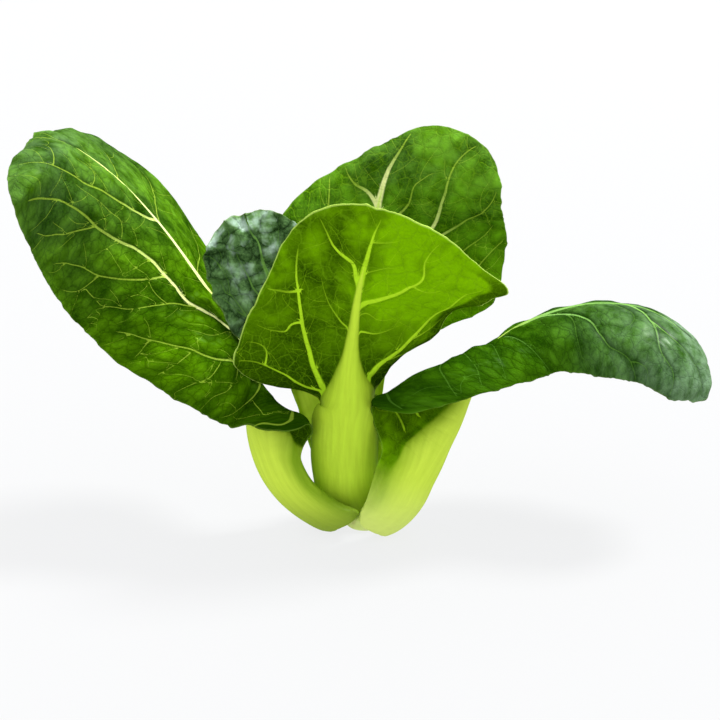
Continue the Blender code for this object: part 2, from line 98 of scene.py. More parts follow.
PLANS = {
"left": plan(near_side=-1, ripple=(0.45, 5, 0.1), floor=0.0,
    line="""-5.4 -4 2.9, -11.5 -4.5 7.5, -17.3 -4.5 14.3, -21 -3 22.8, -23.6 1 30.9
    -26.8 6 41.1, -36.2 10 54.3, -46.6 10 69.3, -54.7 8 79.1, -62.3 6 85.8""",
    upper="""0 0.5 0.8 0.4, 26 0.45 0.75 0.35, 47 0.75 0.2 0.65, 70 0.75 0 0.65, 100 0.49 0 0.74""",
    near="""0 6.5 20 -10 -30, 12 7.5 45 -10 -30, 23 8 45 -10 -20, 28 11 45 -45 10
    31 17 32 -35 45, 36 22 40 -10 30, 41 21 52 -10 45, 47 25 56 5 70, 53 33 32 0 85
    58 35 20 0 98, 63 34 8 12 108, 73 36 -18 15 125, 90 34 -28 0 92, 100 33 -22 -5 60
    120 26.5 0 -5 55, 140 19 0 -4 56, 160 14.6 0 -2 57, 200 10.8 0 0 60""",
    far="""0 6.5 0 -30 -30, 23 7 0 -30 -30, 33 7.5 10 -30 -10, 41 10 15 -10 5, 49 17 10 0 5
    58 25 5 0 5, 70 29 0 0 0, 93 26 0 0 10, 100 21 0 0 20, 120 13.2 0 0 28, 140 10.6 0 0 36
    200 10.8 0 0 60""",
    stalk="0 6.2, 12 7.5, 23 7, 31 5.5, 38 3.6, 47 2.4, 64 1.6, 93 1, 100 0.9",
    thickness="0 3.6, 12 4.4, 29 3.8, 47 2, 70 1.5, 100 1.2"),
"right": plan(near_side=1, ripple=(0.4, 5, 0.35), floor=0.0,
    line="""1.6 -7.2 3, 5 -6.9 6.6, 9.4 -6 15.1, 15.9 -3 25.9, 22.6 1 35.6, 30.3 5 43.1
    40.5 7 48.1, 52.8 7 50.7, 63.7 5 49.6, 69 4 46.8""",
    upper="""0 -0.5 0.8 0.4, 26 -0.45 0.75 0.35, 47 -0.6 0.25 0.75, 70 -0.2 0 1, 100 0.32 0 0.77""",
    near="""0 4.4 20 -20 -30, 5 6.4 20 -20 -30, 19 8.4 10 -35 -30, 24 13 10 -60 -10
    29 19.5 16 -70 55, 34 27 24 -62 95, 38 29 29 -57 106, 44 28 30 -50 102, 50 25.5 28 -38 105
    56 21 15 -15 110, 64 19.5 0 0 90, 76 23 0 0 85, 87 25 -8 0 85, 100 24.4 -20 0 75
    120 22.4 0 0 72, 160 19.6 0 0 66, 200 14.2 0 0 60""",
    far="""0 4.4 0 -30 -30, 5 6.2 0 -30 -30, 33 7 10 -30 -10, 41 12 15 -15 -10, 49 19 8 0 10
    58 24 5 12 32, 70 26 0 20 48, 93 23 0 15 42, 100 20 0 12 40, 140 17.5 0 8 46
    200 14.2 0 0 60""",
    stalk="""0 4.4, 5 6.2, 12 7, 19 6.6, 26 5.2, 33 4.2, 40 3.2, 49 2.4, 64 1.6, 93 1, 100 0.9""",
    thickness="0 4.2, 12 5.8, 29 5.4, 47 3, 70 1.8, 100 1.3"),
"front": plan(near_side=1, ripple=(0.7, 4, 0.2), floor=3.3,
    line="""-2.5 -1.2 3.5, -4 -1.8 8, -4.5 -2 14, -4.5 -3.5 24.2, -3.7 -6 34.5, -2.8 -9.5 47.2
    -1.5 -12.5 58.2, -0.2 -13 65""",
    upper="0 0 1 0, 60 0 1 0, 100 0 1 0.12",
    near="""0 4.5 0 -40 -40, 10 6.5 0 -35 -35, 24 7.1 0 -30 -30, 38 6.8 0 -30 -30
    44 6.6 15 -45 -5, 48 10 10 -20 -10, 52 16 10 -10 0, 60 25.5 0 0 5, 67 24.5 0 0 0
    77 22 -8 0 5, 89 20 0 -15 -5, 100 18.3 0 -10 -10, 150 15 0 -5 0, 200 12.5 0 0 10""",
    far="""0 4.5 0 -40 -40, 10 6.5 0 -35 -35, 24 7.1 0 -30 -30, 38 6.8 0 -30 -30
    44 7 -10 -55 -30, 52 10 -8 -20 -60, 60 14 -8 5 -68, 71 21 0 0 -58, 83 24 0 -8 -26
    95 29.2 0 -8 -4, 100 31.8 0 -3 0, 110 25.6 0 -3 1, 120 21.7 0 -3 2, 140 17.3 0 -2 4
    160 14.6 0 -1 6, 200 12.5 0 0 10""",
    stalk="0 4.5, 10 6.5, 24 7.1, 36 6.8, 44 5, 52 3.6, 60 2.6, 69 1.8, 89 1.3, 100 1",
    thickness="0 2.2, 12 3.4, 30 3.8, 54 2.6, 71 1.7, 100 1.3"),
"back": plan(near_side=-1, ripple=(0.4, 5, 0.6), floor=0.0,
    line="""-1.8 6.5 1, -2.9 7 5.6, -3.2 8 15.1, -2.5 9 24.5, -1.1 10 33.8, 0.5 11.5 45.3
    1.8 13 56.7, 2.9 14.5 70.7, 4.1 15.3 75.8""",
    upper="0 0 -1 0.2, 60 0 -1 0.3, 100 0 -0.94 0.49",
    near="""0 5 0 -20 -20, 12 6 0 -25 -25, 36 6 0 -25 -25, 50 6 0 -20 -20, 60 14 10 -10 0
    74 22 0 0 10, 83 22 -8 -15 -8, 95 15.5 -5 -5 40, 100 12.5 -5 1 53, 140 9.2 0 1 48
    170 9.4 0 0 44, 200 12 0 0 40""",
    far="""0 5 0 -20 -20, 12 6 0 -25 -25, 36 6 0 -25 -25, 50 6 0 -20 -20, 60 18 0 0 0
    69 28 0 0 0, 83 29.8 -3 -5 0, 95 27.8 -10 -12 -3, 100 27.2 -15 -15 -3, 120 25.6 0 -12 6
    150 20.5 0 -8 19, 200 12 0 0 40""",
    stalk="0 5, 12 6, 30 6, 43 4.6, 54 3, 65 2, 83 1.4, 100 1",
    thickness="0 3.2, 12 3.8, 30 3.4, 54 2, 71 1.5, 100 1.2"),
"crinkled": plan(near_side=-1, ripple=(1.3, 8, 0.0), floor=3.3,
    line="""-3.2 2.6 3.5, -5 3 7.2, -7.9 3.5 15.6, -12 3.5 28.9, -16.3 2.5 43.4, -21 2.5 57.3
    -22.7 2.7 62.2""",
    upper="0 0.3 -0.95 0.2, 60 0.2 -0.9 0.3, 100 0.07 -0.9 0.3",
    near="""0 3.2 0 -15 -15, 36 3.6 0 -20 -20, 57 4 0 -10 -10, 69 10 -10 -10 -30
    79 13.5 -18 0 -10, 89 14 -20 10 10, 100 13 -22 0 0, 150 11.8 0 0 10, 200 10.5 0 0 20""",
    far="""0 3.2 0 -15 -15, 36 3.6 0 -20 -20, 57 4 0 -10 -10, 65 12 0 0 0, 77 14 0 0 0
    89 13 0 -10 0, 100 11.3 -9 -15 -5, 150 10.8 0 -7 8, 200 10.5 0 0 20""",
    stalk="0 3.2, 36 3.6, 48 2.8, 60 1.8, 83 1.1, 100 0.8",
    thickness="0 1.8, 24 2.2, 54 1.6, 83 1.2, 100 1.1"),
"outer_heart": plan(near_side=-1, ripple=(0.3, 3, 0.0), floor=3.3,
    line="2 4 3.5, 2.2 4.7 12, 2 4.6 22, 1.8 4 26.9",
    upper="0 0 -1 0.1, 100 0 -1 -0.15",
    near="""0 1.8 0 -10 -10, 41 1.8 0 -20 -20, 71 2.9 0 -20 -30, 100 2.6 0 -20 -30
    150 3.2 0 -10 -15, 200 3.5 0 0 0""",
    stalk="0 1.2, 100 0.7",
    thickness="0 1.2, 100 0.9"),
"inner_heart": plan(near_side=1, ripple=(0.3, 3, 0.3), floor=3.3,
    line="1.4 1.5 3.5, 1.5 1.7 9, 1.5 1.7 16, 1.4 1.8 19.2",
    upper="0 0 1 0.1, 100 0 1 -0.15",
    near="""0 1.5 0 -10 -10, 41 1.5 0 -20 -20, 71 2.4 0 -20 -30, 100 2.2 0 -20 -30
    150 2.6 0 -10 -15, 200 2.8 0 0 0""",
    stalk="0 1, 100 0.6",
    thickness="0 1.1, 100 0.9"),
}
print("plans:", ", ".join(PLANS))

# %% [markdown]
# ## From the plan to a surface
#
# A leaf blade is a strip of rows that cross the midline, each bent in its own way. It could be
# sculpted, but a formula keeps it tied to the plan and to the solid model. A point has two
# parameters: its share of the length, and its reach, from -1 at one margin through 0 on the midline
# to 1 at the other margin. All functions here take whole arrays of points at once.

# %% Smooth curves and tables
# a section is walked in this many steps, and its bend grows towards the margin with this power
BEND_STEPS = 32
BEND_POWER = 1.5
# ripples: their run round the fan, how far those of the two margins are apart, how fast they die
# out inwards, and the width of blade in millimetres that gives them their full height
FAN_RUN = 0.25
WAVE_SHIFT = 0.8
RIPPLE_POWER = 2.5
RIPPLE_WIDTH = 10
# the small step of share or reach over which a direction is measured
LOOK_STEP = 0.004


def hermite(x, y, slope, where):
    """Cubic pieces between stations x, from the values y and the slopes there: the start value
    times 2t^3 - 3t^2 + 1, the end value times 3t^2 - 2t^3, and the slopes times t^3 - 2t^2 + t and
    t^3 - t^2."""
    step = np.diff(x)
    i = np.clip(np.searchsorted(x, where, side="right") - 1, 0, len(step) - 1)
    t = (where - x[i]) / step[i]
    start = (2 * t**3 - 3 * t**2 + 1) * y[i] + (t**3 - 2 * t**2 + t) * step[i] * slope[i]
    end = (3 * t**2 - 2 * t**3) * y[i + 1] + (t**3 - t**2) * step[i] * slope[i + 1]
    return start + end


def through(stations, share):
    """A table read smoothly: the slope at a station is the harmonic mean of those on both sides, or
    level where the values turn back, so that the curve never overshoots them."""
    x, y = np.array(stations, float).T
    rise = np.diff(y) / np.diff(x)
    both = rise[:-1] * rise[1:]
    mean = 2 * both / np.where(both > 0, rise[:-1] + rise[1:], 1)
    slope = np.concatenate([rise[:1], np.where(both > 0, mean, 0), rise[-1:]])
    return hermite(x, y, slope, np.clip(share, x[0], x[-1]))


def smooth_line(points, count=401):
    """A curve through points, in even steps of its length, and the length. Its slope at a point is
    the mean of the directions of the two chords beside it, where the shorter counts for more."""
    p = np.array(points, float)
    chord = np.linalg.norm(np.diff(p, axis=0), axis=1)
    rise = np.diff(p, axis=0) / chord[:, None]
    share = (chord[:-1] / (chord[:-1] + chord[1:]))[:, None]
    inner = rise[:-1] * (1 - share) + rise[1:] * share
    if len(inner):
        slope = np.vstack([2 * rise[0] - inner[0], inner, 2 * rise[-1] - inner[-1]])
    else:
        slope = np.vstack([rise, rise])
    station = np.concatenate([[0], np.cumsum(chord)])
    where = np.linspace(0, station[-1], count)
    q = np.column_stack([hermite(station, column, m, where) for column, m in zip(p.T, slope.T)])
    run = np.concatenate([[0], np.cumsum(np.linalg.norm(np.diff(q, axis=0), axis=1))])
    even = np.linspace(0, run[-1], count)
    return np.column_stack([np.interp(even, run, column) for column in q.T]), run[-1]


def unit(v):
    """Vectors divided by their length."""
    return v / np.linalg.norm(v, axis=-1, keepdims=True)


# %% The leaf as a function of share and reach
class Leaf:
    """The upper face of one leaf. A point starts on the midline and walks across to its reach, and
    on the way the direction turns by the bend angle, so it ends at the mean cosine of that angle
    across and the mean sine of it down, both times the distance walked."""

    def __init__(self, plan):
        self.plan = plan
        self.line, self.length = smooth_line(plan["line"])
        self.share = np.linspace(0, 1, len(self.line))
        self.tangent = unit(np.gradient(self.line, axis=0))
        looks = [through(plan["upper"][:, [0, k]], self.share) for k in (1, 2, 3)]
        upper = np.column_stack(looks)
        self.upper = unit(upper - (upper * self.tangent).sum(1, keepdims=True) * self.tangent)
        self.side = np.cross(self.tangent, self.upper)

    def row(self, share, side, column):
        """One column of the table, for the half of the leaf on the given side (+1 or -1)."""
        near, far = (through(self.plan[half][:, [0, column]], share) for half in ("near", "far"))
        return np.where(side == self.plan["near_side"], near, far)

    def stalk(self, share):
        """Half-width of the stalk or midrib."""
        return through(self.plan["stalk"], share)

    def half_width(self, share, side):
        """Half-width of the whole leaf, never less than the stalk's."""
        return np.maximum(self.row(share, side, 1), self.stalk(share))

    def at(self, table, share):
        """A row of a table along the midline."""
        return np.column_stack([np.interp(share, self.share, table[:, k]) for k in range(3)])

    def forward(self, share, side):
        """The angle by which a row points ahead of straight across, up to 90 degrees in the fan."""
        angle = np.radians(-self.row(np.minimum(share, 1), side, 2))
        return angle + (np.pi / 2 - angle) * np.clip(share - 1, 0, 1)

    def surface(self, share, reach):
        """Points of the upper face, in millimetres."""
        side = np.where(reach >= 0, 1, -1)
        width = self.half_width(share, side)
        distance = np.abs(reach) * width
        forward = self.forward(share, side)[:, None]
        first = self.row(share, side, 3)[:, None]
        last = self.row(share, side, 4)[:, None]
        stalk = self.stalk(share)[:, None]
        steps = distance[:, None] * (np.arange(BEND_STEPS) + 0.5) / BEND_STEPS
        beyond = np.clip((steps - stalk) / np.maximum(width[:, None] - stalk, 0.01), 0, 1)
        angle = first * np.clip(steps / stalk, 0, 1) + (last - first) * beyond**BEND_POWER
        angle = np.radians(angle)
        out = np.cos(angle).mean(1) * distance
        down = np.sin(angle).mean(1) * distance
        height, count, phase = self.plan["ripple"]
        run = np.minimum(share, 1) + FAN_RUN * np.clip(share - 1, 0, 1)
        wave = np.sin(2 * np.pi * (count * run + phase) + WAVE_SHIFT * side * (2 - share))
        ripple = height * np.abs(reach) ** RIPPLE_POWER * wave
        ripple = ripple * np.clip((width - stalk[:, 0]) / RIPPLE_WIDTH, 0, 1)
        upper = self.at(self.upper, share)
        sideways = side[:, None] * np.cos(forward) * self.at(self.side, share)
        across = sideways + np.sin(forward) * self.at(self.tangent, share)
        margin = angle[:, -1:]
        shift = ripple[:, None] * (np.cos(margin) * upper + np.sin(margin) * across)
        return self.at(self.line, share) + out[:, None] * across - down[:, None] * upper + shift

    def looks(self, share, reach):
        """The way the upper face looks: the cross product of small steps across and along."""
        low, high = np.clip(share - LOOK_STEP, 0, 2), np.clip(share + LOOK_STEP, 0, 2)
        left, right = np.clip(reach - LOOK_STEP, -1, 1), np.clip(reach + LOOK_STEP, -1, 1)
        along = self.surface(high, reach) - self.surface(low, reach)
        across = self.surface(share, right) - self.surface(share, left)
        return unit(np.cross(across, along))

    def flat(self, share, reach):
        """The same points on the leaf pressed flat: across by the distance walked, along by the
        length of midline, both in millimetres. Veins are drawn and measured on this sheet."""
        side = np.where(reach >= 0, 1, -1)
        distance = np.abs(reach) * self.half_width(share, side)
        forward = self.forward(share, side)
        along = self.length * np.minimum(share, 1) + np.sin(forward) * distance
        return np.column_stack([side * np.cos(forward) * distance, along])


LEAVES = {name: Leaf(plan) for name, plan in PLANS.items()}
for leaf_name, leaf in LEAVES.items():
    print(leaf_name, "leaf, midline", round(float(leaf.length), 1), "mm")

# %% [markdown]
# ## Veins
#
# A bok choy blade has a strong midrib, a few thick side veins that leave it low down and run up
# beside it, thinner ones that fork off those and loop towards the margin, and a fine net between
# them. A painted line would look printed on, and a bump alone has no shadow, so the veins are drawn
# first as lines on the flattened leaf and then used twice: to raise and press in the surface, and
# as a distance that the skin reads to colour them. The lines that can be seen are set as stations
# of share and reach; the hidden halves follow a rule, and twigs grow from a seeded draw.

# %% Stations of the veins
# Each vein has its half-width at the start and at the end, in hundredths of a millimetre, and then
# its stations, as the share in thousandths and the reach in hundredths.
VEINS = {
"left": """
55 15, 930 0, 1000 0, 1870 -54, 1900 -90;
78 12, 400 -12, 470 -20, 573 -31, 673 -32, 716 -34, 771 -45, 819 -55, 869 -62, 900 -68, 959 -89;
22 7, 819 -55, 838 -75, 876 -92;
34 7, 673 -32, 690 -50, 709 -60, 730 -68, 776 -76, 804 -88;
18 6, 730 -68, 726 -79, 749 -93;
15 7, 726 -79, 687 -79;
25 7, 604 -32, 642 -47, 666 -68, 687 -79, 687 -92;
12 4, 642 -47, 661 -49, 690 -44;
46 10, 390 -28, 430 -42, 499 -49, 547 -61, 592 -68, 623 -74, 654 -85;
15 5, 623 -74, 618 -89;
18 6, 582 -69, 585 -79, 589 -91;
20 6, 542 -61, 544 -78, 554 -86, 561 -96;
20 6, 516 -56, 516 -78, 523 -85, 525 -97;
20 6, 430 -45, 449 -66, 482 -82, 501 -95;
12 4, 510 -26, 530 -29, 578 -51, 601 -55;
43 7, 775 -1, 783 -5, 852 -30, 897 -41, 940 -49, 998 -56, 1123 -71, 1198 -88;
15 4, 897 -41, 928 -27, 975 -27;
10 4, 773 -41, 800 -36, 833 -40, 916 -52;
15 5, 998 -56, 1123 -50, 1398 -64;
25 7, 900 0, 921 41, 962 70;
34 7, 765 0, 780 25, 792 59, 814 78, 838 86;
25 7, 630 0, 642 21, 654 60, 690 84;
25 7, 510 5, 530 30, 570 60, 610 88;
18 6, 330 -40, 340 -60, 360 -90;
15 5, 290 -50, 300 -70, 310 -90""",
"front": """
86 12, 930 0, 1000 0, 1937 -30, 1930 -80;
65 10, 910 0, 950 4, 993 12, 1160 34, 1286 56, 1398 86;
94 15, 440 50, 500 38, 561 30, 675 39, 783 55, 857 64, 998 80;
29 6, 859 61, 838 75, 847 94;
36 7, 749 48, 735 59, 711 62, 709 71, 716 88;
57 10, 460 55, 499 45, 532 55, 570 62, 599 75, 611 95;
29 6, 601 73, 652 75, 668 93;
33 5, 700 0, 747 4, 778 14, 845 30, 920 43;
72 10, 835 0, 864 -6, 885 -17, 931 -34, 998 -41, 1160 -56, 1298 -85;
36 5, 730 -2, 752 -7, 745 -21, 775 -42;
22 5, 800 0, 826 -9, 800 -22, 804 -36;
79 12, 470 -35, 530 -36, 600 -42, 692 -55, 759 -67, 847 -77, 938 -78, 990 -82;
24 5, 955 -38, 936 -49, 952 -60;
22 4, 1920 -42, 1687 -47, 1549 -61;
18 4, 970 -1, 998 -11, 1060 -24;
24 5, 720 -60, 750 -80, 820 -93;
24 5, 620 -45, 640 -70, 700 -90""",
"back": """
90 12, 930 0, 1000 0, 1925 29, 1862 64, 1837 90;
101 12, 600 2, 700 14, 790 28, 874 44, 967 53, 1135 60, 1261 74, 1311 93;
61 7, 770 26, 857 54, 895 69, 936 86, 983 96;
53 7, 670 10, 760 55, 816 71, 833 79, 881 90;
53 7, 620 5, 660 30, 700 55, 783 84, 833 97;
53 6, 860 0, 919 19, 947 25, 1048 29, 1180 45;
90 10, 600 -2, 700 -16, 800 -34, 860 -48, 905 -59, 940 -72, 967 -88;
61 7, 930 0, 969 -24, 974 -45, 1020 -80;
53 7, 700 -16, 740 -45, 790 -70, 830 -92;
53 7, 570 -5, 620 -40, 680 -70, 720 -92;
53 7, 570 5, 610 40, 660 70, 710 93""",
"right": """
50 10, 930 0, 1000 0, 1900 40, 1900 90;
36 10, 500 3, 575 28, 604 61, 618 95;
50 10, 600 0, 675 5, 728 20, 780 41, 821 69, 885 83, 900 97;
24 6, 720 17, 737 35, 733 78, 742 97;
43 10, 850 0, 893 4, 926 28, 943 65, 983 79, 995 95;
31 7, 926 28, 993 43, 1336 69, 1436 95;
20 5, 885 83, 914 84, 928 95;
24 5, 840 2, 881 43, 852 54;
24 6, 420 12, 480 30, 506 56, 511 75, 499 91;
24 6, 470 8, 547 44, 547 70, 537 90;
28 6, 370 17, 450 40, 458 61, 461 81, 453 93;
31 7, 300 22, 340 40, 360 65, 370 92;
28 7, 250 40, 290 55, 310 75, 310 93;
36 7, 420 -10, 480 -35, 530 -65, 570 -93;
36 7, 520 -5, 580 -35, 630 -65, 670 -93;
36 7, 630 -3, 690 -35, 740 -65, 780 -93;
34 7, 740 -2, 800 -35, 850 -65, 890 -93;
31 7, 850 -1, 910 -35, 960 -65, 1100 -93""",
"crinkled": """
52 10, 930 0, 1000 0, 1930 30, 1950 -60, 1930 -93;
38 6, 620 -10, 720 -45, 804 -62, 850 -69, 905 -70, 979 -70, 1236 -90;
22 5, 842 -70, 897 -85, 928 -98;
22 5, 783 -60, 833 -85, 859 -97;
38 6, 760 -5, 885 -30, 983 -40, 1398 -71, 1586 -96;
22 5, 930 -70, 981 -84, 993 -97;
35 6, 620 10, 700 40, 770 70, 820 94;
35 6, 720 5, 800 35, 880 65, 930 94;
35 6, 820 3, 900 35, 990 60, 1200 90;
26 5, 920 3, 1100 35, 1450 85;
22 5, 660 -30, 700 -65, 740 -93""",
"outer_heart": """
12 4, 500 0, 620 45, 720 90;
12 4, 550 0, 680 -45, 780 -90;
12 4, 750 0, 880 45, 970 90""",
"inner_heart": """
12 4, 500 0, 620 45, 720 90;
12 4, 600 0, 720 -45, 820 -90""",
}
VEINS = {name: [table(vein) for vein in text.split(";")] for name, text in VEINS.items()}


# %% Lines of the veins, and the twigs that grow from them
# lengths in millimetres and angles in degrees
VEIN_STEP = 0.8
SWAY = 0.2
# the power with which a vein narrows along its length
TAPER = 0.8
TWIG_SPACING = 5.0
TWIG_ANGLE = 56.0
TWIG_SPREAD = 12
TWIG_LENGTH = 8.5
# half-widths of a twig at its start and end
TWIG_WIDTHS = (0.07, 0.03)
# a leaf shorter than this has shorter twigs in proportion
FULL_LENGTH = 80
# a twig ends where it comes this close to a drawn vein, and so closes a loop of the net
TWIG_STOP = 0.7
# and a twig with no more points than this is left out
SHORTEST_TWIG = 6
# a vein counts as lying on another within this many millimetres
TOUCH = 0.45
# a twig starts this thin, in half millimetres, so that it leaves its vein without a blot
TWIG_ROOT = 0.012


def wavering(path, height, rng):
    """A path with small bends: each inner point moves sideways by a random part of a height."""
    along = unit(np.gradient(path, axis=0))
    across = np.column_stack([-along[:, 1], along[:, 0]])
    knots = rng.uniform(-1, 1, max(len(path) // 4, 2) + 2)
    sway = np.interp(np.linspace(0, len(knots) - 1, len(path)), np.arange(len(knots)), knots)
    sway *= height * np.minimum(np.arange(len(path)), 3) / 3
    return path + sway[:, None] * across


def vein_path(leaf, stations, rng):
    """A smooth path through the stations on the flat leaf."""
    share, reach = np.array(stations, float).T
    points = leaf.flat(share, reach)
    length = np.linalg.norm(np.diff(points, axis=0), axis=1).sum()
    path, _ = smooth_line(points, max(int(length / VEIN_STEP), 4))
    return wavering(path, SWAY, rng)


def from_parent(path, earlier):
    """The path from the last of its first points that lies on an earlier vein, so that a vein
    starts on the vein that it leaves and not beyond it."""
    gap = np.linalg.norm(path[:8, None] - earlier, axis=2).min(1)
    close = np.nonzero(gap < TOUCH)[0]
    return path[close[-1]:] if len(close) else path


def twigs(path, others, scale, rng):
    """Thin side veins: they leave a path every few millimetres, on one side and then the other,
    lean forward, bend on as they go, and stop where they meet another drawn vein."""
    along = unit(np.gradient(path, axis=0))
    run = np.concatenate([[0], np.cumsum(np.linalg.norm(np.diff(path, axis=0), axis=1))])
    grown = []
    place = TWIG_SPACING * rng.uniform(0.5, 1.0)
    side = rng.choice([-1, 1])
    while place < run[-1] * 0.97:
        i = int(np.searchsorted(run, place))
        count = max(int(rng.uniform(0.6, 1.2) * TWIG_LENGTH * scale / VEIN_STEP), 3)
        heading = np.arctan2(along[i, 1], along[i, 0])
        heading += side * np.radians(TWIG_ANGLE + rng.uniform(-TWIG_SPREAD, TWIG_SPREAD))
        turns = heading - side * np.linspace(0, rng.uniform(0.2, 0.7), count)
        turns += rng.normal(0, 0.10, count).cumsum()
        steps = VEIN_STEP * np.column_stack([np.cos(turns), np.sin(turns)])
        twig = np.vstack([path[i], path[i] + steps.cumsum(0)])
        gap = np.linalg.norm(twig[:, None] - others, axis=2).min(1)
        met = np.nonzero(gap[3:] < TWIG_STOP)[0]
        twig = twig[: met[0] + 4] if len(met) else twig
        if len(twig) > SHORTEST_TWIG:
            grown.append(twig)
        place += TWIG_SPACING * rng.uniform(0.7, 1.3)
        side = -side
    return grown


def vein_segments(name, seed):
    """All straight bits of the veins of a leaf: start, end, half-width at both ends, and whether
    the bit belongs to a twig."""
    rng = np.random.default_rng(seed)
    leaf = LEAVES[name]
    drawn = []
    for vein in VEINS[name]:
        wide, thin = vein[0] / 100
        path = vein_path(leaf, vein[1:] / (1000, 100), rng)
        if drawn:
            path = from_parent(path, np.vstack([other for _, _, other in drawn]))
        drawn.append((wide, thin, path))
    middle = leaf.flat(np.linspace(0.42, 0.98, 60), np.zeros(60))
    others = np.vstack([path for _, _, path in drawn] + [middle])
    scale = min(leaf.length / FULL_LENGTH, 1.0)
    lines = [(wide, thin, path, False) for wide, thin, path in drawn]
    for path in [path for _, _, path in drawn] + [middle]:
        lines += [(*TWIG_WIDTHS, twig, True) for twig in twigs(path, others, scale, rng)]
    parts = []
    for wide, thin, path, small in lines:
        half = wide + (thin - wide) * np.linspace(0, 1, len(path)) ** TAPER
        if small:
            half[:2] = TWIG_ROOT
        parts.append((path[:-1], path[1:], np.column_stack([half[:-1], half[1:]]),
                      np.full(len(path) - 1, small)))
    return tuple(np.concatenate(column) for column in zip(*parts))


SEGMENTS = {name: vein_segments(name, 11 + k) for k, name in enumerate(PLANS)}
for leaf_name, bits in SEGMENTS.items():
    print(leaf_name, "leaf:", len(VEINS[leaf_name]), "drawn veins,", len(bits[0]), "bits in all")


# %% [markdown]
# ## How far is the next vein?
#
# To raise a vein or to colour it, each point of the leaf must know how far off the nearest vein is
# and on which side of it the point lies. With the side kept as a sign, the distance runs straight
# through zero at the middle of the vein, so a line thinner than one cell of the grid still comes
# out sharp and unbroken when the skin reads the value between two grid points.

# %% Distances on the flat leaf
def vein_field(points, bits, chunk=4000):
    """For each flat point the bit of vein whose edge is nearest: the foot is the bit's start plus
    the clamped projection of the point onto it. Returns the signed distance from its middle line,
    its half-width there, and the distance from the nearest drawn vein."""
    start, end, width, small = (v.astype(np.float32) for v in bits)
    step = end - start
    square = np.maximum((step**2).sum(1), 1e-9)
    signed, half, large = [], [], []
    points = points.astype(np.float32)
    for first in range(0, len(points), chunk):
        p = points[first:first + chunk, None]
        gap_x, gap_y = p[..., 0] - start[:, 0], p[..., 1] - start[:, 1]
        t = np.clip((gap_x * step[:, 0] + gap_y * step[:, 1]) / square, 0, 1)
        gap_x, gap_y = gap_x - t * step[:, 0], gap_y - t * step[:, 1]
        d = np.sqrt(gap_x**2 + gap_y**2)
        w = width[:, 0] + t * (width[:, 1] - width[:, 0])
        best = (d - w).argmin(1)
        row = np.arange(len(best))
        turn = np.sign(step[best, 0] * gap_y[row, best] - step[best, 1] * gap_x[row, best])
        signed.append(d[row, best] * np.where(turn == 0, 1, turn))
        half.append(w[row, best])
        # twigs are put far away here, so that only the drawn veins count
        large.append((d + 1000 * small).min(1))
    return tuple(np.concatenate(v) for v in (signed, half, large))


# the noise repeats after this many corners of its lattice
LATTICE = 64


def lattice_noise(x, y, size, seed):
    """Random heights from -1 to 1 on a square lattice of a given size, blended between its corners
    by the smooth step 3t^2 - 2t^3."""
    table = np.random.default_rng(seed).uniform(-1, 1, (LATTICE, LATTICE))
    u, v = x / size + 17.3, y / size + 5.1
    i, j = np.floor(u).astype(int), np.floor(v).astype(int)
    f, g = u - i, v - j
    f, g = f * f * (3 - 2 * f), g * g * (3 - 2 * g)
    i, j, right, above = (corner % LATTICE for corner in (i, j, i + 1, j + 1))
    low = table[i, j] * (1 - f) + table[right, j] * f
    high = table[i, above] * (1 - f) + table[right, above] * f
    return low * (1 - g) + high * g


# %% [markdown]
# ## The fine leaf
#
# A leaf is a closed sheet: an upper face, a lower face a little under it, and a rim. Both faces
# start from the same points of the plan and are then moved along the direction in which the leaf
# looks. The stalk is fleshy, so the lower face drops away under it in a rounded bow. Between the
# veins the blade swells into low cushions, and both faces follow them. The veins themselves stand
# out as ribs underneath and lie in shallow grooves on top, as on most leaves.

# %% Grid of a leaf
def half_grid(side, rows, columns):
    """Shares and reaches of one half. In the fan every row starts from the end of the midline."""
    number = np.arange(len(rows) * len(columns)).reshape(len(rows), len(columns))
    number[rows > 1, 0] = number[np.searchsorted(rows, 1.0), 0]
    return np.repeat(rows, len(columns)), side * np.tile(columns, len(rows)), number


def leaf_grid(leaf, spacing, fan_rows):
    """One grid for both halves, which share the midline and the last row of the fan: rows by share,
    closer columns near the midline, where the stalk is round."""
    count = int(leaf.length / spacing)
    rows = np.concatenate([np.linspace(0, 1, count), np.linspace(1, 2, fan_rows + 1)[1:]])
    widest = max(leaf.plan[half][:, 1].max() for half in ("near", "far"))
    even = np.linspace(0, 1, int(widest / spacing))
    columns = even * (0.72 + 0.28 * even)
    columns = np.concatenate([columns[:-1], [0.5 * (columns[-2] + 1), 1.0]])
    (share_a, reach_a, number_a), (share_b, reach_b, number_b) = (
        half_grid(side, rows, columns) for side in (1, -1))
    number_b = number_b + len(share_a)
    number_b[:, 0] = number_a[:, 0]
    number_b[-1] = number_a[-1]
    corners = []
    for number, turn in ((number_a, 1), (number_b, -1)):
        a, b, c, d = number[:-1, :-1], number[:-1, 1:], number[1:, 1:], number[1:, :-1]
        for three in ((a, b, c), (a, c, d)):
            corners.append(np.stack([v.ravel() for v in three], 1)[:, ::turn])
    corners = np.concatenate(corners)
    corners = corners[~(corners == np.roll(corners, 1, 1)).any(1)]
    kept, renumbered = np.unique(corners, return_inverse=True)
    share = np.concatenate([share_a, share_b])[kept]
    reach = np.concatenate([reach_a, reach_b])[kept]
    return share, reach, renumbered.reshape(corners.shape)


def rim_walls(corners, count):
    """Two triangles along every edge that only one triangle of the sheet uses."""
    edges = np.concatenate([corners[:, [0, 1]], corners[:, [1, 2]], corners[:, [2, 0]]])
    key = edges[:, 0] * count + edges[:, 1]
    back = edges[:, 1] * count + edges[:, 0]
    a, b = edges[~np.isin(key, back)].T
    return np.concatenate([np.stack([b, a, a + count], 1), np.stack([b, a + count, b + count], 1)])


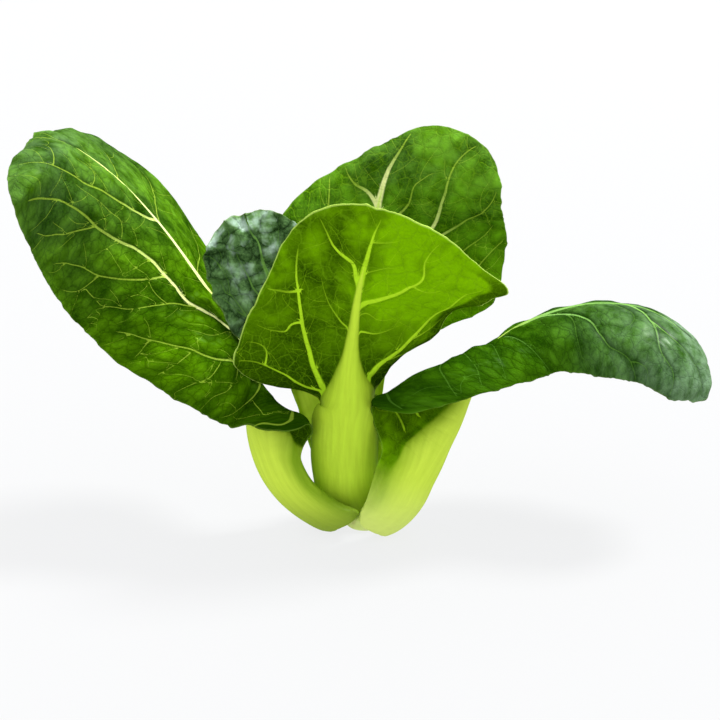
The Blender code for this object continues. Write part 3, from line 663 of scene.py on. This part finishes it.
# %% Thickness, cushions, ribs and margin
# thickness of the blade and of its margin, in millimetres
BLADE = 0.42
MARGIN = 0.26
# the distance from a drawn vein at which a cushion has swollen by two thirds, in millimetres
CUSHION_RUN = 3.0
# how far a rib stands out underneath, in half-widths of its vein
RIB = 1.1
# the height of the cushions and of the small crumples of each leaf, in millimetres
SWELL = {"left": (0.60, 0.18), "front": (0.55, 0.14), "back": (0.60, 0.18), "right": (0.65, 0.14),
         "crinkled": (1.0, 1.3), "outer_heart": (0.05, 0.02), "inner_heart": (0.05, 0.02)}
# how wide the pale flesh shows along a leaf, as a part of the solid's stalk: stations of share and
# part. The wing of the right leaf is its near side.
MIDRIB = table("0 1, 0.5 1, 0.7 0.7, 0.95 0.4, 1 0.3")
FRONT_MIDRIB = table("""0 1, 0.32 1, 0.4 1.15, 0.45 1.3, 0.5 1.45, 0.56 1.3
    0.65 1.05, 0.85 0.7, 1 0.5""")
RIGHT_WING = table("""0 1, 0.05 0.95, 0.11 0.75, 0.2 0.8, 0.28 0.58, 0.36 0.5
    0.5 0.9, 0.7 0.7, 1 0.3""")
# a stalk is rounded off over this share of the leaf at its heel, to this part of its width
HEEL = 0.04
HEEL_PART = 0.78


def dome(t):
    """A round dome: the root of 1 - t^2, and 0 beyond t = 1."""
    return np.sqrt(np.clip(1 - t * t, 0, 1))


def hill(t):
    """A soft hill without an edge: e to the power of -t^2."""
    return np.exp(-(t**2))


def ramp(value, low, high):
    """0 below low, 1 above high, and the smooth step 3t^2 - 2t^3 between them."""
    t = np.clip((value - low) / (high - low), 0, 1)
    return t * t * (3 - 2 * t)


def fine_leaf(name, spacing, fan_rows):
    """Points, triangles, skin values and flattened places of one leaf."""
    leaf = LEAVES[name]
    share, reach, corners = leaf_grid(leaf, spacing, fan_rows)
    flat = leaf.flat(share, reach)
    x, y = flat.T
    side = np.where(reach >= 0, 1, -1)
    width = leaf.half_width(share, side)
    # the midrib narrows faster than that of the solid, and runs out at the end of the midline
    part = through(FRONT_MIDRIB if name == "front" else MIDRIB, share)
    if name == "right":
        part = np.where(side == leaf.plan["near_side"], through(RIGHT_WING, share), part)
    stalk = leaf.stalk(share) * part * np.clip((1.03 - share) / 0.1, 0, 1)
    across = np.abs(reach) * width
    heel = HEEL_PART + (1 - HEEL_PART) * np.sqrt(1 - np.clip(1 - share / HEEL, 0, 1) ** 2)
    rim = (1 - np.abs(reach)) * width
    signed, half, large = vein_field(flat, SEGMENTS[name])
    gap = np.abs(signed)
    wing = ramp(width - stalk, 1.2, 3.5)
    blade = ramp(across - stalk, -0.2, 1.6) * wing

    # cushions between the veins, crumples, and the grooves of the veins, along the looks
    cushion, crumple = SWELL[name]
    swell = cushion * (1 - hill(large / CUSHION_RUN)) * np.clip(rim / 2.5, 0.15, 1)
    swell += crumple * lattice_noise(x, y, 4.3, 3) + 0.5 * crumple * lattice_noise(x, y, 1.9, 4)
    groove = -(0.08 + 0.4 * np.minimum(half, 0.5)) * hill(gap / (half + 0.3))
    fibre = 0.10 * lattice_noise(x, y * 0.04, 1.2, 7) * ramp(across - stalk, 0.3, -0.6)
    upper_lift = (swell + groove) * blade

    # thickness: the round stalk and midrib, the thin blade, and the ribs of the veins underneath
    rib = RIB * half * dome(gap / (1.6 * half + 0.15)) * np.clip(half / 0.12, 0, 1)
    middle = through(leaf.plan["thickness"], np.minimum(share, 1)) * heel
    body = dome(across / np.maximum(stalk * 1.12, 0.05)) * (1 - ramp(share, 0.75, 1.0))
    thin = MARGIN + (BLADE - MARGIN) * np.clip(rim / 1.5, 0, 1)
    depth = np.maximum(thin, (middle - 0.1) * body + fibre) + rib * blade

    # the margin wavers a little in and out, with a small swelling where a vein ends
    waver = 0.22 * lattice_noise(x, y, 2.6, 5) + 0.12 * lattice_noise(x, y, 1.1, 6)
    edge = np.clip(1 - rim / 1.2, 0, 1) ** 2 * np.clip((width - stalk) / 4, 0, 1)
    knob = hill(gap / 0.55) * edge
    base = leaf.surface(share, reach * heel)
    looks = leaf.looks(share, reach)
    inward = unit(leaf.surface(share, np.clip(reach - 0.01 * side, -1, 1)) - base + 1e-9)
    base = base - (waver * edge + 0.25 * knob)[:, None] * inward
    upper = base + (upper_lift + 0.12 * knob)[:, None] * looks
    lower = base + (swell * blade - depth - 0.10 * knob)[:, None] * looks
    floor = leaf.plan["floor"]
    upper[:, 2] = np.maximum(upper[:, 2], floor + 0.3)
    lower[:, 2] = np.maximum(lower[:, 2], floor)
    count = len(share)
    triangles = np.concatenate([corners, corners[:, ::-1] + count, rim_walls(corners, count)])
    values = {
        "vein": signed / np.maximum(half, 0.03),
        "vein_near": np.clip(1.75 - 1.5 * (gap - half) / spacing, 0, 1),
        # where the skin paints shade into the groove beside a vein
        "painted_trench_shade": hill(np.maximum(gap - half, 0) / 0.6) * np.clip(half / 0.25, 0, 1) * blade,
        "vein_size": half,
        "vein_far": np.minimum(large, 20.0),
        "flesh": 1 - ramp(across - stalk, -0.8, 0.5) * wing,
        "round": np.clip(across / np.maximum(stalk, 0.05), 0, 1) * side,
        "rim": rim,
        "share": share,
    }
    values = {key: np.tile(v, 2) for key, v in values.items()}
    values["top"] = np.repeat([1.0, 0.0], count)
    return np.vstack([upper, lower]), triangles, values, np.tile(flat, (2, 1))


# %% A mesh from arrays
# millimetres of the flattened leaf in one unit of its UV map
SHEET_MM = 100.0


def add_piece(name, points, triangles, values, flat, skin, nodes):
    """Puts whole arrays into a mesh: points in metres, corners of the triangles, one number per
    point for each skin value, and the flattened leaf as a UV map."""
    mesh = bpy.data.meshes.new(name)
    mesh.vertices.add(len(points))
    mesh.vertices.foreach_set("co", (points * MM).astype(np.float32).ravel())
    mesh.loops.add(triangles.size)
    mesh.loops.foreach_set("vertex_index", triangles.astype(np.int32).ravel())
    mesh.polygons.add(len(triangles))
    mesh.polygons.foreach_set("loop_start", np.arange(0, triangles.size, 3, dtype=np.int32))
    mesh.polygons.foreach_set("loop_total", np.full(len(triangles), 3, dtype=np.int32))
    mesh.update()
    mesh.polygons.foreach_set("use_smooth", np.ones(len(triangles), dtype=bool))
    sheet = mesh.uv_layers.new(name="flat")
    sheet.data.foreach_set("uv", (flat[triangles.ravel()] / SHEET_MM).astype(np.float32).ravel())
    for key, numbers in values.items():
        attribute = mesh.attributes.new(key, "FLOAT", "POINT")
        attribute.data.foreach_set("value", numbers.astype(np.float32))
    mesh.validate()
    mesh.materials.append(skin)
    piece = bpy.data.objects.new(name, mesh)
    bpy.context.scene.collection.objects.link(piece)
    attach(piece, "root")
    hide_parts(*nodes)
    print(name, len(mesh.polygons), "triangles")


# %% [markdown]
# ## Shader maths as Python
#
# A skin is mostly arithmetic on positions and masks. Wired by hand it is a web of nodes, so a small
# class wraps a socket: an expression on such values adds the Math nodes itself.

# %% Expressions that build nodes
class Value:
    """A socket of a node tree that can be added and multiplied like a number."""

    def __init__(self, sheet, socket):
        self.sheet = sheet
        self.socket = socket

    def maths(self, operation, *others):
        """A Math node with this value as its first one."""
        return self.sheet.add("Math", {"operation": operation}, dict(enumerate((self, *others))))

    __add__ = __radd__ = partialmethod(maths, "ADD")
    __mul__ = __rmul__ = partialmethod(maths, "MULTIPLY")
    __sub__ = partialmethod(maths, "SUBTRACT")
    __pow__ = partialmethod(maths, "POWER")
    __abs__ = partialmethod(maths, "ABSOLUTE")

    def __rsub__(self, other):
        return self.sheet.add("Math", {"operation": "SUBTRACT"}, {0: other, 1: self})

    def step(self, low, high):
        """0 below low, 1 above high, and the smooth step 3t^2 - 2t^3 between them."""
        settings = {"interpolation_type": "SMOOTHSTEP"}
        values = {"Value": self, 1: low, 2: high, 3: 0.0, 4: 1.0}
        return self.sheet.add("MapRange", settings, values)


class Sheet:
    """The node tree of one material."""

    def __init__(self, name):
        self.material = bpy.data.materials.new(name)
        self.material.use_nodes = True
        self.tree = self.material.node_tree
        self.shader = self.tree.nodes["Principled BSDF"]

    def put(self, socket, value):
        """Links a value to a socket, or sets it there."""
        if isinstance(value, Value):
            self.tree.links.new(value.socket, socket)
        else:
            socket.default_value = value

    def dress(self, values):
        """Links or sets sockets of the material's own shader."""
        for key, value in values.items():
            self.put(self.shader.inputs[key], value)

    def add(self, kind, settings=None, values=None, output=0):
        """Any node: its settings first, then the values or links of its sockets."""
        node = self.tree.nodes.new("ShaderNode" + kind)
        for key, setting in (settings or {}).items():
            setattr(node, key, setting)
        for key, value in (values or {}).items():
            self.put(node.inputs[key], value)
        return Value(self, node.outputs[output])

    def attribute(self, name):
        """One number per point of the mesh."""
        return self.add("Attribute", {"attribute_name": name}, output="Fac")

    def colour(self, low, high, share):
        """A blend from one colour to another."""
        low, high = ((*c, 1.0) if isinstance(c, tuple) else c for c in (low, high))
        values = {0: share, 6: low, 7: high}
        return self.add("Mix", {"data_type": "RGBA"}, values, output=2)

    def noise(self, place, size_mm, detail=2.0, rough=0.5):
        """Cloudy noise from 0 to 1 on the flat leaf, with features of a size in millimetres."""
        values = {"Vector": place, "Scale": SHEET_MM / size_mm, "Detail": detail,
                  "Roughness": rough}
        return self.add("TexNoise", None, values)

    def cells(self, place, size_mm):
        """The distance to the nearest side of the irregular meshes of a net, in parts of a mesh."""
        values = {"Vector": place, "Scale": SHEET_MM / size_mm}
        return self.add("TexVoronoi", {"feature": "DISTANCE_TO_EDGE"}, values)

    def bent(self, place, size_mm, shift_mm):
        """The flat leaf with every place shifted a little by noise."""
        noise = self.add("TexNoise", None, {"Vector": place, "Scale": SHEET_MM / size_mm}, 1)
        centred = self.add("VectorMath", {"operation": "SUBTRACT"}, {0: noise, 1: (0.5, 0.5, 0.5)})
        values = {0: centred, "Scale": 0.02 * shift_mm}
        shift = self.add("VectorMath", {"operation": "SCALE"}, values)
        return self.add("VectorMath", {"operation": "ADD"}, {0: place, 1: shift})

    def let_light_through(self, colour, part):
        """Mixes in a shader that shows on one face the light that falls on the other."""
        brighter = self.add("Gamma", None, {"Color": colour, "Gamma": 0.75})
        through_leaf = self.add("BsdfTranslucent", None, {"Color": brighter})
        values = {0: part, 1: Value(self, self.shader.outputs[0]), 2: through_leaf}
        output = self.tree.nodes["Material Output"].inputs["Surface"]
        self.put(output, self.add("MixShader", None, values))


# %% [markdown]
# ## Skins
#
# The top of a blade is a deep waxy green with a soft sheen, its underside paler, yellower and matt,
# since the tissue there is loose. Greens this rich keep almost no blue, so the gloss is held low or
# the bright surroundings would wash them out. The colour is built up in the order in which it
# lies: broad clouds, fine mottling, the net of the smallest veins, the pale veins, the stalk, and
# at last the thin pale rim. Painted shade is laid in grooves, near the stalk and on one margin,
# painted light on one half, and a painted sheen towards the tips.

# %% The skin of a leaf
RIM_COLOUR = (0.50, 0.72, 0.12)
# how much of the light that falls on one face shows on the other
LIGHT_THROUGH = 0.22


def leaf_skin(name, top, under, stalk, vein, sheen_and_bloom=0.0, wax=0.05, groove_depth_and_shade=0.3, mesh_mm=3.4,
              painted_base_shade=(0.0, 0.0, 1.0), painted_light_half=0.0, painted_margin_shade=0.0, pale_rim=0.1, white=0.3, trench_shade=0.6,
              sheen_and_bloom_colour=(0.20, 0.33, 0.20), sheen_and_bloom_spots=(0.2, 0.8)):
    """Top and under are (dark, light, grain, net) colours, stalk is (dark, light, root) and vein
    the colour of (strong veins on top, weak veins on top, veins underneath); the dark of a stalk is
    painted shade on its round flanks. Wax is the gloss of the top, and sheen_and_bloom how much of
    sheen_and_bloom_colour lies towards the tip, in spots between the two levels of noise in
    sheen_and_bloom_spots: the pale wax of the leaf together with a painted sheen. The value
    groove_depth_and_shade is how deep the small veins lie in their grooves and how dark the painted
    shade there is, and mesh_mm the size of the meshes between them. The value painted_base_shade is
    how much darker the leaf is painted near its stalk, where the leaves crowd, and the two shares
    of the length between which that fades. The value painted_light_half is how much lighter the
    half with the negative reach is painted, as if light shone through it, painted_margin_shade how
    much painted shade lies on its margin, and pale_rim how pale the edge. White is the half-width
    in millimetres at which a vein is palest, and trench_shade how dark the painted shade is in the
    groove beside a vein."""
    s = Sheet(name)
    place = s.add("UVMap", {"uv_map": "flat"})
    face, share, rim, far, near, fleshy = (
        s.attribute(key) for key in ("top", "share", "rim", "vein_far", "vein_near", "flesh"))
    line, curve = abs(s.attribute("vein")), abs(s.attribute("round"))
    strong = s.attribute("vein_size").step(0.4 * white, white)
    left_right = s.add("SeparateXYZ", None, {0: place}) * SHEET_MM

    # clouds, mottling and the net
    clouds = s.noise(place, 15.0, 2.0)
    patches = s.noise(place, 4.5, 3.0, 0.6)
    grain = s.noise(place, 0.55, 3.0, 0.7)
    pits = grain.step(0.35, 0.75)
    bent = s.bent(place, 1.2, 0.35)
    net, fine = s.cells(bent, mesh_mm), s.cells(bent, 0.33 * mesh_mm)
    cushion = net.step(0.0, 0.30)
    mesh_lines = (1 - net.step(0.0, 0.05)) * 0.6 + (1 - fine.step(0.0, 0.10)) * 0.3
    mesh_lines = mesh_lines * (1 - fleshy)

    # from dark to light: random clouds and mottling, with painted shade beside a vein, near the
    # stalk, in the grooves of the net and on one margin, and painted light on one half
    light = clouds.step(0.32, 0.68) * 0.5 + patches.step(0.34, 0.68) * 0.5
    # painted shade in the hollow beside each drawn vein
    light = light * (0.62 + far.step(0.0, 3.5) * 0.38)
    # painted shade near the stalk, where the leaves crowd
    light = light * (1 - (1 - share.step(painted_base_shade[1], painted_base_shade[2])) * painted_base_shade[0])
    # painted light on the half with the negative reach, as if light shone through it
    light = light + (1 - left_right.step(-7.0, 3.0)) * share.step(0.6, 0.9) * painted_light_half
    # painted shade along the margin of that half, up to the end of the midline
    margin_shade = (1 - rim.step(3.0, 5.0)) * (1 - left_right.step(-11.0, -6.0))
    margin_shade = margin_shade * (1 - share.step(1.0, 1.15))
    # painted shade in the grooves of the net, and the painted shade on the margin
    light = light * (1 - (1 - cushion) * groove_depth_and_shade) * (1 - margin_shade * painted_margin_shade)

    def tissue(tones, pitted, lined):
        """The blade on one face."""
        colour = s.colour(s.colour(tones[0], tones[1], light), tones[2], pits * pitted)
        return s.colour(colour, tones[3], mesh_lines * lined)

    # the net on top darkens more with the painted shade of its grooves
    skin = s.colour(tissue(under, 0.3, 0.5), tissue(top, 0.4, 0.25 + groove_depth_and_shade), face)
    # painted sheen towards the tip, together with the pale wax of the leaf
    sheen_and_bloom_mask = share.step(0.60, 1.25) * patches.step(*sheen_and_bloom_spots) * face * sheen_and_bloom
    skin = s.colour(skin, sheen_and_bloom_colour, sheen_and_bloom_mask)

    # veins, with painted shade in the grooves beside them
    skin = s.colour(skin, top[0], s.attribute("painted_trench_shade") * face * trench_shade)
    veins = s.colour(vein[2], s.colour(vein[1], vein[0], strong), face)
    skin = s.colour(skin, veins, (1 - line.step(0.55, 1.15)) * near * (0.35 + strong * 0.65))

    # the stalk with its streaks, which turns into the midrib, with painted shade on its round
    # flanks and, on the left and front stalks, at its root
    fibres = s.add("Mapping", None, {"Vector": place, "Scale": (7.0, 0.45, 1.0)})
    streaks = s.noise(fibres, 6.0, 3.0, 0.6)
    # painted shade: the flesh darkens towards the round flanks of the stalk
    flesh = streaks.step(0.25, 0.75) * 0.2 + 0.8 - curve ** 3 * 0.8
    flesh = s.colour(stalk[0], stalk[1], flesh)
    # towards the heel the root colour, which on the left and front stalks is painted shade
    flesh = s.colour(flesh, stalk[2], (1 - share.step(0.0, 0.18)) * 0.9)
    flesh = s.colour(flesh, vein[0], share.step(0.45, 0.7) * face)
    flesh = s.colour(flesh, vein[1], share.step(0.75, 1.0) * face * 0.7)
    soft = (fleshy + (patches - 0.5) * 0.5 * fleshy * (1 - fleshy)).step(0.25, 0.75)
    skin = s.colour(skin, flesh, soft)
    skin = s.colour(skin, RIM_COLOUR, (1 - rim.step(0.08, 0.36)) * pale_rim * (1 - soft))

    gloss = (sheen_and_bloom_mask * 0.5 + cushion * patches.step(0.3, 0.8) * wax) * face * (1 - soft)
    height = grain * 0.25 - mesh_lines * 0.5 + cushion * groove_depth_and_shade + streaks * soft * 0.3
    height = height + patches * (1 - soft) * 0.8
    bump = s.add("Bump", None, {"Strength": 0.6, "Distance": 0.0006, "Height": height})
    s.dress({"Base Color": skin, "Roughness": 0.42 + (grain - 0.5) * 0.2 + (1 - face) * 0.12,
             "Coat Weight": gloss + soft * 0.12, "Coat Roughness": 0.35,
             "Specular IOR Level": 0.0, "Normal": bump})
    s.let_light_through(skin, LIGHT_THROUGH)
    return s.material


# %% Colours of the leaves
# All are linear red, green and blue. Flesh is (dark, light, root), a top or an underside is (dark,
# light, grain, net), and veins are (strong on top, weak on top, underneath). The dark of each flesh
# is painted shade on the round flanks of a stalk. The root of the front and left flesh is painted
# shade low down between the stalks, and the root of the pale flesh is its own colour. A dark net on
# a top is painted shade in the grooves of the smallest veins.
WHITE_VEIN = (0.93, 0.98, 0.42)
PALE_VEIN = (0.64, 0.93, 0.08)
GREEN_VEIN = (0.44, 0.76, 0.02)
RAISED_VEIN = (0.22, 0.45, 0.10)
LOW_VEIN = (0.12, 0.30, 0.03)
PALE_FLESH = ((0.2464, 0.4224, 0.00704), (0.6808, 0.874, 0.0828), (0.6808, 0.8004, 0.2024))
SHADED_FRONT_FLESH = ((0.1176, 0.2184, 0.00252), (0.5888, 0.828, 0.0506), (0.154, 0.245, 0.007))
SHADED_LEFT_FLESH = ((0.17, 0.32, 0.004), (0.68, 0.87, 0.082), (0.24, 0.36, 0.03))
DARK_TOP = ((0.0072, 0.0352, 0.00032), (0.1302, 0.3276, 0.00134), (0.0588, 0.1848, 0.00084),
            (0.0168, 0.0588, 0.00084))
RIGHT_TOP = ((0.00756, 0.0386, 0.00067), (0.0817, 0.2408, 0.00344), (0.0473, 0.1591, 0.00172),
             (0.0172, 0.0602, 0.00172))
BRIGHT_TOP = ((0.0098, 0.0476, 0.00028), (0.1872, 0.4836, 0.00094), (0.12, 0.336, 0.0008),
              (0.208, 0.432, 0.008))
YELLOW_UNDER = ((0.012, 0.0405, 0.0003), (0.2125, 0.4845, 0.00085), (0.1105, 0.2975, 0.00085),
                (0.204, 0.442, 0.0085))
BLUE_TOP = ((0.016, 0.048, 0.0128), (0.38, 0.741, 0.247), (0.247, 0.494, 0.152),
            (0.0064, 0.0224, 0.004))
HEART_TOP = ((0.16, 0.30, 0.01), (0.26, 0.44, 0.02), (0.30, 0.46, 0.03), (0.38, 0.55, 0.05))
SHOWN_VEINS = (WHITE_VEIN, PALE_VEIN, GREEN_VEIN)
SUNK_VEINS = (RAISED_VEIN, LOW_VEIN, GREEN_VEIN)
print("tops of the strongest veins:", WHITE_VEIN, "where shown,", RAISED_VEIN, "where sunk")

# %% Make the leaves
# of each leaf: grid spacing in millimetres, rows of the fan, colours, and what else its skin needs
MAKE = {
    "left": (0.45, 60, DARK_TOP, SHADED_LEFT_FLESH, SHOWN_VEINS, dict(
        sheen_and_bloom=0.25, groove_depth_and_shade=0.22, mesh_mm=2.6, painted_base_shade=(0.6, 0.36, 0.62), white=0.55, trench_shade=0.45)),
    "right": (0.44, 56, RIGHT_TOP, PALE_FLESH, SUNK_VEINS, dict(
        sheen_and_bloom=0.9, wax=0.08, mesh_mm=2.8, white=0.35, trench_shade=0.95)),
    "front": (0.38, 60, DARK_TOP, SHADED_FRONT_FLESH, SHOWN_VEINS, dict(
        groove_depth_and_shade=0.15, painted_base_shade=(0.9, 0.50, 0.92), painted_light_half=0.8, painted_margin_shade=0.9, pale_rim=0.9)),
    "back": (0.40, 60, BRIGHT_TOP, PALE_FLESH, SHOWN_VEINS, dict(
        sheen_and_bloom=0.12, white=0.55, trench_shade=0.25)),
    "crinkled": (0.30, 60, BLUE_TOP, PALE_FLESH, SUNK_VEINS, dict(
        sheen_and_bloom=0.85, wax=0.8, groove_depth_and_shade=0.65, mesh_mm=4.2, sheen_and_bloom_colour=(0.66, 0.88, 0.76),
        sheen_and_bloom_spots=(0.48, 0.72))),
    "outer_heart": (0.22, 20, HEART_TOP, PALE_FLESH, SHOWN_VEINS, {}),
    "inner_heart": (0.22, 20, HEART_TOP, PALE_FLESH, SHOWN_VEINS, {}),
}
for leaf_name, (spacing, fan_rows, top, stalk, vein, special) in MAKE.items():
    leaf_node = leaf_name + "_leaf"
    young = leaf_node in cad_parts
    nodes = [leaf_node] if young else [leaf_node + "_stalk", leaf_node + "_blade"]
    skin_name = (leaf_name if young else leaf_node) + "_skin"
    skin = leaf_skin(skin_name, top, YELLOW_UNDER, stalk, vein, **special)
    add_piece("fine_" + leaf_node, *fine_leaf(leaf_name, spacing, fan_rows), skin, nodes)
print(len(MAKE), "leaves in their skins")

# %% [markdown]
# ## The stem and its cut
#
# All that is left of the stem is a short disc between the stalks. Its cut face dried pale and a
# little brown at the rim. The solid model's own disc has the right shape, so it stays and only gets
# a skin, in which rings of fibres run round the middle of the cut.

# %% Skin of the stem
def stem_skin():
    """Rings: the distance from the upright axis, bent by noise, through a sine."""
    s = Sheet("stem_skin")
    place = s.add("TexCoord", output="Object")
    split = s.add("SeparateXYZ", None, {0: place})
    east, north = split, Value(s, split.socket.node.outputs[1])
    away = (east * east + north * north) ** 0.5 * 1000.0
    cloud = s.add("TexNoise", None, {"Vector": place, "Scale": 420.0, "Detail": 3.0})
    ring = ((away + cloud * 0.8) * 5.5).maths("SINE") * 0.5 + 0.5
    skin = s.colour((0.52, 0.66, 0.12), (0.68, 0.80, 0.24), ring * 0.6 + cloud * 0.4)
    skin = s.colour(skin, (0.42, 0.38, 0.12), away.step(3.4, 4.4) * cloud.step(0.45, 0.75) * 0.5)
    bump = s.add("Bump", None, {"Strength": 0.4, "Distance": 0.0002, "Height": ring + cloud})
    s.dress({"Base Color": skin, "Roughness": 0.5 + cloud * 0.2, "Normal": bump})
    return s.material


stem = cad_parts["stem_base"]
for material_slot in stem.material_slots:
    material_slot.material = stem_skin()
print("stem disc keeps its solid, with", len(stem.material_slots), "skin")

# %% [markdown]
# ## Floor, light and camera
#
# The head stands on a seamless white sheet that is lit from below as well, as on a product table,
# so its shadows nearly vanish. A bright dome is all round, and a soft sun from above and behind on
# the right gives the leaves their modelling and shines through the thin ones. The camera looks a
# little down on the head, through a long lens that hardly bends its proportions.

# %% Floor
def floor_sheet(reach_m=2.5):
    """One large square just below the height of the cut."""
    mesh = bpy.data.meshes.new("floor")
    signs = ((-1, -1), (1, -1), (1, 1), (-1, 1))
    mesh.from_pydata([(x * reach_m, y * reach_m, 0.0) for x, y in signs], [], [(0, 1, 2, 3)])
    mesh.update()
    s = Sheet("floor_skin")
    s.dress({"Base Color": (0.058, 0.058, 0.058, 1.0), "Roughness": 0.8,
             "Specular IOR Level": 0.1, "Emission Color": (0.985, 0.99, 1.0, 1.0),
             "Emission Strength": 0.81})
    mesh.materials.append(s.material)
    floor = bpy.data.objects.new("floor", mesh)
    # a tenth of a millimetre lower than the cut, so that the two faces don't coincide
    floor.location.z = -0.0001
    bpy.context.scene.collection.objects.link(floor)
    floor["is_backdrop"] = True


floor_sheet()

# %% Light
world = bpy.data.worlds.new("dome")
bpy.context.scene.world = world
world.use_nodes = True
sky = world.node_tree.nodes["Background"].inputs
sky["Color"].default_value = (1.0, 1.0, 1.0, 1.0)
sky["Strength"].default_value = 1.35


def add_object(name, data, place, look):
    """A lamp or camera at a place, which looks or shines in a direction."""
    thing = bpy.data.objects.new(name, data)
    thing.location = place
    thing.rotation_mode = "QUATERNION"
    thing.rotation_quaternion = Vector(look).to_track_quat("-Z", "Y")
    bpy.context.scene.collection.objects.link(thing)
    return thing


WINDOW = Vector((0.35, 0.22, 0.60))
sun = bpy.data.lights.new("window", "SUN")
sun.energy = 4.8
sun.angle = np.radians(18.0)
add_object("window", sun, WINDOW, -WINDOW)
bpy.context.scene.view_settings.view_transform = "Standard"

# %% Camera
CAMERA_RISE = np.radians(18.0)
CAMERA_DISTANCE = 0.455
AIM = np.array([-0.0011, 0.0, 0.0395])
FIELD = np.radians(20.0)
lens = bpy.data.cameras.new("camera")
lens.sensor_width = 36.0
lens.lens = 0.5 * lens.sensor_width / np.tan(FIELD / 2)
lens.clip_start = 0.01
back = np.array([0.0, -np.cos(CAMERA_RISE), np.sin(CAMERA_RISE)])
camera = add_object("camera", lens, AIM + CAMERA_DISTANCE * back, -back)
bpy.context.scene.camera = camera
print("camera at", [round(float(v), 3) for v in camera.location])

# %% Sizes
shown_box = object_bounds()
boxes = {"cad": [list(map(float, corner)) for corner in cad_box],
         "visual": [list(map(float, corner)) for corner in shown_box]}
for key, (low, high) in boxes.items():
    print(key, "box mm:", [round(1000 * (h - l), 1) for l, h in zip(low, high)])
